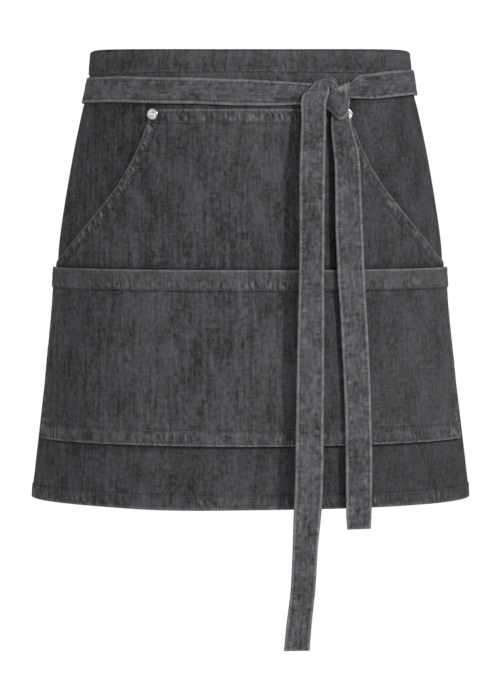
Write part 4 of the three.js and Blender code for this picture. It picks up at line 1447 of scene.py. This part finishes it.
# Tails: share of the drop, place of the middle, width, layers at each edge, and where one is given
# the share of the stand-off, else all of it
LONG_TAIL_START = 0.6
LONG_TAIL = [
    (0.03, -0.92, 0.95, 1.2, 2.2, 0.86), (0.125, -0.98, 0.98, 1.7, 2.2), (0.22, -1.0, 0.95, 2.0, 2.3),
    (0.305, -1.01, 0.95, 2.3, 2.5), (0.4, -1.03, 1.0, 2.2, 2.4), (0.48, -1.05, 1.04, 1.8, 2.2),
    (0.6, -1.08, 1.06, 1.6, 1.9), (0.7, -1.11, 1.07, 1.5, 1.8), (0.755, -1.17, 1.06, 1.5, 1.8),
    (0.805, -1.24, 0.98, 1.4, 2.1), (0.885, -1.33, 0.95, 1.5, 2.2), (0.955, -1.49, 0.97, 1.6, 2.0),
    (1.0, -1.57, 0.99, 1.7, 2.0),
]
SHORT_TAIL_START = 1.0
SHORT_TAIL = [
    (0.04, 0.165, 0.83, 1.75, 2.05, 0.3), (0.065, 0.25, 0.93, 1.65, 1.75, 0.6), (0.11, 0.36, 1.0, 1.5, 1.3),
    (0.18, 0.41, 1.02, 1.7, 1.3), (0.3, 0.46, 1.06, 2.0, 1.6), (0.395, 0.52, 1.04, 2.4, 2.2),
    (0.5, 0.63, 1.02, 1.9, 1.8), (0.7, 0.79, 1.02, 1.7, 1.6), (0.81, 0.83, 1.03, 1.6, 1.5),
    (0.95, 0.83, 0.99, 1.6, 1.5), (1.0, 0.84, 0.92, 1.6, 1.5),
]


def tie_stations(form, run, knot, tail, tail_start, tail_foot, tail_lean, tail_stand):
    """Edges of a tie as rows of angle, height and offset, and its lean, from sewn end to tail."""
    s = sizes()
    width = s.tie_width
    rows = []
    for (a0, h0, m0), (a1, h1, m1) in zip(run, run[1:]):
        steps = max(1, round(abs(a1 - a0) / 5))
        for k in range(steps):
            t = k / steps
            eased = t * t * (3 - 2 * t)
            angle = math.radians(a0 + (a1 - a0) * t)
            height, mid = (h0 + (h1 - h0) * eased) * width, m0 + (m1 - m0) * eased
            rows.append((angle, height + width / 2, mid, angle, height - width / 2, mid, 0.0))
    angle, height, mid = math.radians(run[-1][0]), run[-1][1] * width, run[-1][2]
    rows.append((angle, height + width / 2, mid, angle, height - width / 2, mid, 0.0))
    turns = 2 * math.pi * round(rows[-1][0] / (2 * math.pi))
    stations = [(*row[:7], *(row[7:] or (0.0,))) for row in knot]
    for drop, across, wide, layer_a, layer_b, *hang in tail:
        height = -(tail_start + (-tail_foot / width - tail_start) * drop)
        ends = (across - wide / 2, height, across + wide / 2, height)
        stations.append((*ends, layer_a, layer_b, tail_lean, *(hang or (1.0,))))
    for ax, az, bx, bz, layer_a, layer_b, lean, hang in stations:
        row = []
        for x, z, layer in ((ax, az, layer_a), (bx, bz, layer_b)):
            mid = RUN_MID + layer * LAYER_STEP + hang * tail_stand
            angle = float(form.angle_of(s.knot_across + x * width, z * width, mid))
            row += [angle + turns, z * width, mid]
        rows.append((*row, math.radians(lean)))
    return np.array(rows)


class Strap:
    """A tie's surface: fine stations along it, with points across its two faces."""

    across_mm = np.array([0, 0.18, 0.5, 0.9, 1.5, 2.1, 2.6, 3.1, 3.7, 4.8, 6.4, 8.0, 9.6])
    end_rows = np.array([0, 0.15, 0.4, 0.8]) * MM
    row_mm = 2.9
    half_thickness = 0.78 * MM
    end_round = 0.8 * MM
    smooth_rows = 2
    # How pale the rubbed edges a and b are
    edge_pale = (0.72, 0.80)

    def __init__(self, form, stations, step, seed, dull):
        self.seed = seed
        self.width = sizes().tie_width
        self.noise = ValueNoise(detail().seed + 700 + seed)
        at = self.station_lengths(form, stations)
        self.length = at[-1]
        self.dull = [[(at[first], at[last]) for first, last in stretches] for stretches in dull]
        self.at = np.linspace(0, self.length, int(self.length / step))
        fine = self.smoothed(smooth_through(at, stations, self.at), self.smooth_rows)
        self.around, lean = fine[:, 0], fine[:, 6]
        turned = np.flatnonzero(lean > math.pi / 2)
        self.fold_at = self.at[turned[0]] if turned.size else None
        self.a = form.point(fine[:, 0], fine[:, 1], fine[:, 2])
        self.b = form.point(fine[:, 3], fine[:, 4], fine[:, 5])
        across = self.b - self.a
        self.wide = np.linalg.norm(across, axis=1)
        across /= self.wide[:, None]
        out = form.outward((fine[:, 0] + fine[:, 3]) / 2, (fine[:, 1] + fine[:, 4]) / 2)
        out = out - across * np.sum(out * across, 1, keepdims=True)
        out /= np.linalg.norm(out, axis=1, keepdims=True)
        rise = np.cross(out, across)
        upward = np.sign(rise[:, 2:3] + 1e-12)
        self.normal = out * np.cos(lean)[:, None] + rise * np.sin(lean)[:, None] * upward

    @staticmethod
    def station_lengths(form, stations):
        """Length along the strap at each station, where a turn of the lean counts as well."""
        a = form.point(stations[:, 0], stations[:, 1], stations[:, 2])
        b = form.point(stations[:, 3], stations[:, 4], stations[:, 5])
        chord = np.linalg.norm(np.diff((a + b) / 2, axis=0), axis=1)
        turn = np.abs(np.diff(stations[:, 6])) * 1.3 * MM
        return np.concatenate([[0], np.cumsum(np.maximum(np.hypot(chord, turn), 0.3 * MM))])

    @staticmethod
    def smoothed(values, reach):
        """Rows averaged with their neighbours, ends kept."""
        padded = np.concatenate([values[:1].repeat(reach, 0), values, values[-1:].repeat(reach, 0)])
        total = sum(padded[k:k + len(values)] for k in range(2 * reach + 1))
        result = total / (2 * reach + 1)
        result[0], result[-1] = values[0], values[-1]
        return result

    def shares(self):
        """Places across, from 0 at edge a to 1 at edge b, the same number at each station."""
        half = self.across_mm * MM / (self.width / 2)
        left = np.append(half, 1.0) / 2
        return np.concatenate([left, (1 - left[:-1])[::-1]])

    def gather(self, at, share):
        """How far the strap is squeezed together, how much of it is pleated, and its pleats."""
        n = self.noise
        wide = np.maximum(np.interp(at, self.at, self.wide), 4 * MM)
        squeeze = np.clip(self.width / wide - 1.25, 0, 1.6)
        pleats = np.sin(2 * math.pi * (2.6 * share + 0.35 * n(at / (16 * MM), 120) + 0.2))
        pleats = pleats + 0.6 * n(at / (7 * MM), 140 + 6 * share)
        return squeeze, np.minimum(np.sqrt(squeeze), 1.0), pleats

    def relief(self, at, share, face):
        """Height of a face over the middle plane and its wear with painted light and shade; face is 1 outside
        and -1 behind.
        """
        n = self.noise
        mm_a, mm_b = share * self.width / MM, (1 - share) * self.width / MM
        edge = np.minimum(mm_a, mm_b)
        near_a = mm_a < mm_b
        beside = np.where(near_a, 0, 20)
        rounded = np.sqrt(np.clip(1 - (1 - np.clip(edge / 0.9, 0, 1)) ** 2, 0.06, 1))
        row = bell(edge - self.row_mm, 0.6)
        ridge = smoothstep(self.row_mm - 0.1, self.row_mm - 1.1, edge)
        inside_row = bell(edge - self.row_mm - 1.9, 2.1)
        tugs = n(at / (4.4 * MM) + 0.12 * edge, 11 + beside) + 0.4 * n(at / (2.3 * MM), 31 + beside)
        cockle = n(at / (8.5 * MM) + 1.5 * share, 50 + 3 * share) + 0.6 * n(at / (4.6 * MM), 80 + 5 * share)
        crease = n(at / (38 * MM), 240 + 3.4 * share)
        squeeze, gathered, pleats = self.gather(at, share)

        lift = self.half_thickness + 0.10 * MM * ridge - 0.22 * MM * row
        lift = lift + 0.26 * MM * tugs * inside_row + 0.24 * MM * cockle
        lift = (lift + 0.55 * MM * gathered * pleats + 0.2 * MM * crease) * rounded
        if face < 0:
            lift = np.minimum(lift, self.half_thickness * rounded + 0.1 * MM)

        pale_a, pale_b = (pale * self.kept_edge(at, side) for side, pale in enumerate(self.edge_pale))
        wear_and_painted_shading = np.where(near_a, pale_a, pale_b) * ridge * (0.9 + 0.25 * n(at / (3 * MM), 160 + beside))
        wear_and_painted_shading = wear_and_painted_shading - 0.30 * row + 0.36 * inside_row * np.clip(tugs, -0.7, 1) + 0.14 * cockle + 0.08 * crease
        wear_and_painted_shading = wear_and_painted_shading + np.minimum(2.2 * squeeze, 1) * (0.18 + 0.42 * np.clip(pleats, -0.6, 1))
        # Painted light and shade: a tie is paler where it runs round towards -X and darker towards +X
        side_for_painted_light = np.interp(at, self.at, np.sin(self.around))
        wear_and_painted_shading = wear_and_painted_shading + 0.07 - 0.20 * side_for_painted_light
        return lift, wear_and_painted_shading + self.fold_wear_and_shadow(at)

    def kept_edge(self, at, side):
        """Share of its wear that edge a (0) or b (1) keeps: less between the knot rows listed for it."""
        soft = 3 * MM
        lost = 0.8
        kept = 1.0
        for first, last in self.dull[side]:
            begun = smoothstep(first - soft, first + soft, at)
            ended = smoothstep(last - soft, last + soft, at)
            kept = kept * (1 - lost * begun * (1 - ended))
        return kept

    def fold_wear_and_shadow(self, at):
        """Wear of the fold where the strap turns over: rubbed pale on the bend, with a painted shadow just
        under it.
        """
        if self.fold_at is None:
            return 0.0
        before = self.fold_at - at
        return 1.0 * bell(before - 4 * MM, 3.2 * MM) - 0.35 * bell(before - 11 * MM, 3.5 * MM)

    def ends(self, at):
        """Rounds the strap's two cut ends off."""
        inward = np.clip(np.minimum(at, self.length - at) / self.end_round, 0, 1)
        return np.sqrt(np.clip(1 - (1 - inward) ** 2, 0.05, 1))

    def between(self, rows, at):
        """Rows of points or vectors read at lengths along the strap."""
        return np.stack([np.interp(at, self.at, rows[:, k]) for k in range(3)], -1)

    def unit_normal(self, at):
        normal = self.between(self.normal, at)
        return normal / np.linalg.norm(normal, axis=-1, keepdims=True)

    def place(self, at, share, face):
        """World points of a face at lengths along the strap and shares across it."""
        at, share = np.broadcast_arrays(at, share)
        a, b = self.between(self.a, at), self.between(self.b, at)
        lift = face * self.relief(at, share, face)[0] * self.ends(at)
        swing = 0.35 * MM * self.noise(at / (34 * MM), 200) * smoothstep(0, 0.1, at)
        return a + (b - a) * share[..., None] + self.unit_normal(at) * (lift + swing)[..., None]

    def mesh(self, name):
        margin = 1.2 * MM
        inner = self.at[(self.at > margin) & (self.at < self.length - margin)]
        rows = np.concatenate([self.end_rows, inner, self.length - self.end_rows[::-1]])
        at, share = np.meshgrid(rows, self.shares(), indexing="ij")
        points = np.concatenate([self.place(at, share, 1), self.place(at, share, -1)[:, ::-1]], 1)
        rings, sides = points.shape[:2]
        ends = end_quads(sides)
        last_end = ends[:, ::-1] + (rings - 1) * sides
        quads = np.concatenate([ring_quads(rings, sides, flip=True), ends, last_end])
        end_wear = 0.6 * bell(np.minimum(at, self.length - at), 1.0 * MM)
        front, back = (self.relief(at, share, face)[1] + end_wear for face in (1, -1))
        wear_and_painted_shading = np.concatenate([front, back[:, ::-1]], 1)
        across = np.concatenate([share, share[:, ::-1]], 1) * self.width
        along = np.concatenate([at, at], 1)
        side = np.concatenate([np.zeros_like(at), np.ones_like(at)], 1)
        edge = np.minimum(across, self.width - across)
        roping = 0.5 * bell(edge - self.row_mm * MM, 2.6 * MM)
        return new_mesh(name, points.reshape(-1, 3), quads, {
            "cloth": np.stack([across + 3 * self.seed, along, side], -1).reshape(-1, 3),
            "wear_and_painted_shading": np.clip(wear_and_painted_shading, -1, 1).ravel(),
            "inside": np.zeros(wear_and_painted_shading.size),
            "rope": np.stack([along, across, roping], -1).reshape(-1, 3),
        })

    def stitches(self, face, start, end):
        """Two rows of stitches near the edges of one face."""
        pitch, length = detail().stitch_pitch, detail().stitch_length
        centres = np.arange(start, end, pitch)
        found = []
        inset = self.row_mm * MM / self.width
        for share in (inset, 1 - inset):
            parts = [self.place(centres + shift * length, np.full(centres.shape, share), face)
                     for shift in (-0.5, 0, 0.5)]
            found.append((*parts, face * self.unit_normal(centres)))
        return join_stitches(found)

    def end_row(self, face):
        """Row of stitches across the turned end of the tail."""
        count = 6
        at = np.full(count, self.length - 11 * MM)
        shares = np.linspace(0.1, 0.9, count)
        half = detail().stitch_length / 2 / self.width
        parts = [self.place(at, shares + shift * half, face) for shift in (-1, 0, 1)]
        return (*parts, face * self.unit_normal(at))


class APRON_OT_ties(Operator):
    """Build the two ties round the waist, their knot and their tails"""

    bl_idname = "apron.ties"
    bl_label = "Ties"

    def execute(self, context):
        s = sizes()
        form = BodyForm()
        join_angle = float(form.angle_of(s.knot_across + KNOT_JOIN * s.tie_width, 0.0, SEWN_MID))
        long_run = LONG_RUN + [(math.degrees(join_angle) + 4, *LONG_RUN_END)]
        plans = {
            "tie_short": (SHORT_RUN, SHORT_KNOT, SHORT_TAIL, SHORT_TAIL_START, s.short_tail_foot, 180.0,
                          s.short_tail_stand),
            "tie_long": (long_run, LONG_KNOT, LONG_TAIL, LONG_TAIL_START, s.long_tail_foot, 0.0,
                         s.long_tail_stand),
        }
        for seed, (node, plan) in enumerate(plans.items(), 1):
            stations = tie_stations(form, *plan)
            knot_start = len(stations) - len(plan[1]) - len(plan[2])
            dull = [[(knot_start + first, knot_start + last) for first, last in edge]
                    for edge in DULL_EDGE_ROWS[node]]
            strap = Strap(form, stations, 1.6 * MM, seed, dull)
            tie = strap.mesh(f"{node}_cloth")
            margin = 3 * MM
            groups = [strap.stitches(face, margin, strap.length - margin) for face in (1, -1)]
            groups += [strap.end_row(face) for face in (1, -1)]
            thread = thread_mesh(f"{node}_thread", *join_stitches(groups), seed=10 + seed)
            finish_piece(tie, "tie_denim", tie_paint(), node)
            finish_piece(thread, "tie_denim", thread_paint())
        return {"FINISHED"}


# Rivets: heights of the washer's and the cap's seat over the panel's face
RIVET_BACK = -1.55 * MM
RIVET_FRONT = 1.8 * MM
RIVET_RISE = 2.2 * MM
WASHER_RADIUS = 4 * MM
POST_RADIUS = 1.8 * MM
# Share of the washer's radius and height over its seat in mm
WASHER_ROWS = [(0.0, -0.9), (0.35, -0.9), (0.5, -0.6), (0.92, -0.75), (1, -0.5), (0.97, 0)]
# Share of the cap's radius and height over its seat in mm
RIM_ROWS = [(0.93, -0.5), (0.99, -0.2)]
# Share of the cap's radius and of its rise
DOME_ROWS = [
    (1, 0.15), (0.985, 0.38), (0.93, 0.6), (0.84, 0.78), (0.74, 0.88), (0.65, 0.9), (0.58, 0.84),
    (0.52, 0.66), (0.46, 0.62), (0.38, 0.64), (0.31, 0.8), (0.22, 0.95), (0.1, 1.0),
]


def rivet_profile(cap):
    """Radius and height of each ring of a rivet, from the tip behind to the tip in front."""
    washer = [(WASHER_RADIUS * share, RIVET_BACK + over * MM) for share, over in WASHER_ROWS]
    post = [(POST_RADIUS, RIVET_BACK), (POST_RADIUS, RIVET_FRONT - 0.5 * MM)]
    rim = [(cap * share, RIVET_FRONT + over * MM) for share, over in RIM_ROWS]
    dome = [(cap * share, RIVET_FRONT + RIVET_RISE * rise) for share, rise in DOME_ROWS]
    return washer + post + rim + dome


def rivet_mesh(name, form, angle, z, profile):
    """Profile turned round the line straight out of the cloth."""
    segments = 48
    centre = form.point(angle, z, 0.0)
    across = form.point(angle + 0.01, z, 0.0) - form.point(angle - 0.01, z, 0.0)
    up = form.point(angle, z + 1 * MM, 0.0) - form.point(angle, z - 1 * MM, 0.0)
    out = np.cross(across, up)
    out /= np.linalg.norm(out)
    across /= np.linalg.norm(across)
    up = np.cross(out, across)
    turns = np.arange(segments) * 2 * math.pi / segments
    ring = np.cos(turns)[:, None] * across + np.sin(turns)[:, None] * up
    rings = [centre + ring * radius + out * height for radius, height in profile[1:]]
    tips = [centre + out * profile[0][1], centre + out * profile[-1][1]]
    count = len(rings)
    low, high = count * segments, count * segments + 1
    quads = np.concatenate([
        ring_quads(count, segments),
        cap_quads(low, 0, segments)[:, [0, 3, 2, 1]],
        cap_quads(high, (count - 1) * segments, segments),
    ])
    return new_mesh(name, np.concatenate([*rings, tips]), quads)


class APRON_OT_rivets(Operator):
    """Build the two bright rivets at the hand pocket's corners"""

    bl_idname = "apron.rivets"
    bl_label = "Rivets"

    def execute(self, context):
        s = sizes()
        form = BodyForm()
        profile = rivet_profile(s.rivet_diameter / 2)
        for side, node in ((-1, "rivet_left"), (1, "rivet_right")):
            rivet = rivet_mesh(f"{node}_cap", form, side * s.rivet_angle, s.rivet_height, profile)
            metal = material("bright_nickel", metal_material, colours().metal)
            finish_piece(rivet, "rivet_metal", metal, node)
        return {"FINISHED"}


# Stage

CAMERA_PLACE = Vector((0, -2.6, -0.079))
CAMERA_LENS = 149.0
CAMERA_SHIFT = -0.12
CAMERA_PITCH = math.radians(1.745)
FLOOR_HEIGHT = -0.76
FLOOR_RADIUS = 1.05
FLOOR_GLOW = 0.25
DOME_RADIUS = 9.0
DOME_GLOW = 1.02
WORLD_STRENGTH = 0.31
# Lights: place, size and power; all aim at the same point
LIGHTS = {
    "key_light": ((2.05, -1.85, 1.3), 0.45, 58),
    "front_light": ((-1.9, -2.2, 0.3), 1.2, 13),
    "back_light": ((0, 2.8, 0.9), 1.6, 26),
}
LIGHT_AIM = Vector((0, 0, -0.15))


def plain_material(name, colour, glow=0.0):
    m = NodeMaker(name)
    m.surface.inputs["Base Color"].default_value = opaque(colour)
    m.surface.inputs["Roughness"].default_value = 0.9
    m.surface.inputs["Specular IOR Level"].default_value = 0.1
    m.surface.inputs["Emission Color"].default_value = (1, 1, 1, 1)
    m.surface.inputs["Emission Strength"].default_value = glow
    return m.material


class APRON_OT_stage(Operator):
    """Build the floor, the white backdrop, the lights and the camera"""

    bl_idname = "apron.stage"
    bl_label = "Stage"

    def execute(self, context):
        self.floor()
        self.backdrop()
        world = bpy.data.worlds.new("studio")
        world.use_nodes = True
        background = world.node_tree.nodes["Background"]
        background.inputs["Color"].default_value = (1.0, 1.0, 1.0, 1.0)
        background.inputs["Strength"].default_value = WORLD_STRENGTH
        scene = context.scene
        scene.world = world
        for name, (place, size, power) in LIGHTS.items():
            self.area_light(name, place, size, power)
        scene.view_settings.view_transform = "Standard"
        scene.view_settings.look = "None"
        scene.camera = self.camera()
        return {"FINISHED"}

    def floor(self):
        rings, segments = 12, 96
        turns = np.arange(segments) * 2 * math.pi / segments
        radii = np.linspace(0.02, FLOOR_RADIUS, rings)
        points = [[r * math.cos(t), r * math.sin(t), FLOOR_HEIGHT] for r in radii for t in turns]
        middle = len(points)
        quads = [ring_quads(rings, segments, flip=True), cap_quads(middle, 0, segments)]
        floor = new_mesh("floor", np.array([*points, [0, 0, FLOOR_HEIGHT]]), np.concatenate(quads))
        floor.data.materials.append(plain_material("pale_floor", colours().floor, FLOOR_GLOW))
        return floor

    def backdrop(self):
        """A dome that only the camera sees."""
        bpy.ops.mesh.primitive_uv_sphere_add(segments=48, ring_count=24, radius=DOME_RADIUS)
        dome = bpy.context.object
        dome.name = "backdrop"
        dome.data.shade_smooth()
        dome.data.materials.append(plain_material("white_backdrop", (0, 0, 0), DOME_GLOW))
        for kind in ("visible_diffuse", "visible_glossy", "visible_shadow", "visible_transmission"):
            setattr(dome, kind, False)
        return dome

    def area_light(self, name, place, size, power):
        data = bpy.data.lights.new(name, "AREA")
        data.shape, data.size, data.energy = "DISK", size, power
        light = bpy.data.objects.new(name, data)
        bpy.context.scene.collection.objects.link(light)
        light.location = place
        light.rotation_euler = (LIGHT_AIM - light.location).to_track_quat("-Z", "Y").to_euler()

    def camera(self):
        data = bpy.data.cameras.new("photo_camera")
        data.lens = CAMERA_LENS
        data.sensor_fit = "AUTO"
        data.sensor_width = 36
        data.shift_y = CAMERA_SHIFT
        camera = bpy.data.objects.new("photo_camera", data)
        bpy.context.scene.collection.objects.link(camera)
        camera.location = CAMERA_PLACE
        camera.rotation_euler = (math.radians(90) - CAMERA_PITCH, 0, 0)
        return camera


class APRON_PT_sidebar(Panel):
    """Steps and sizes of the waist apron"""

    bl_idname = "APRON_PT_sidebar"
    bl_label = "Waist apron"
    bl_space_type = "VIEW_3D"
    bl_region_type = "UI"
    bl_category = "Apron"

    def draw(self, context):
        layout = self.layout
        for operator in OPERATORS:
            layout.operator(operator.bl_idname)
        for title, group in (("Sizes", sizes()), ("Detail", detail()), ("Colours", colours())):
            box = layout.box()
            box.label(text=title)
            for key in group.__annotations__:
                box.prop(group, key)


OPERATORS = (
    APRON_OT_stage, APRON_OT_panel, APRON_OT_waistband, APRON_OT_hand_pocket,
    APRON_OT_lower_pocket, APRON_OT_ties, APRON_OT_rivets,
)
GROUPS = {"apron_sizes": ApronSizes, "apron_detail": ApronDetail, "apron_colours": ApronColours}
CLASSES = (*GROUPS.values(), *OPERATORS, APRON_PT_sidebar)


def register():
    for cls in CLASSES:
        bpy.utils.register_class(cls)
    for name, group in GROUPS.items():
        setattr(bpy.types.Scene, name, PointerProperty(type=group))


def unregister():
    for name in GROUPS:
        delattr(bpy.types.Scene, name)
    for cls in reversed(CLASSES):
        bpy.utils.unregister_class(cls)


def main():
    register()
    bpy.ops.apron.stage()
    bpy.ops.apron.panel()
    bpy.ops.apron.waistband()
    bpy.ops.apron.hand_pocket()
    bpy.ops.apron.lower_pocket()
    bpy.ops.apron.ties()
    bpy.ops.apron.rivets()


if __name__ == "__main__":
    main()
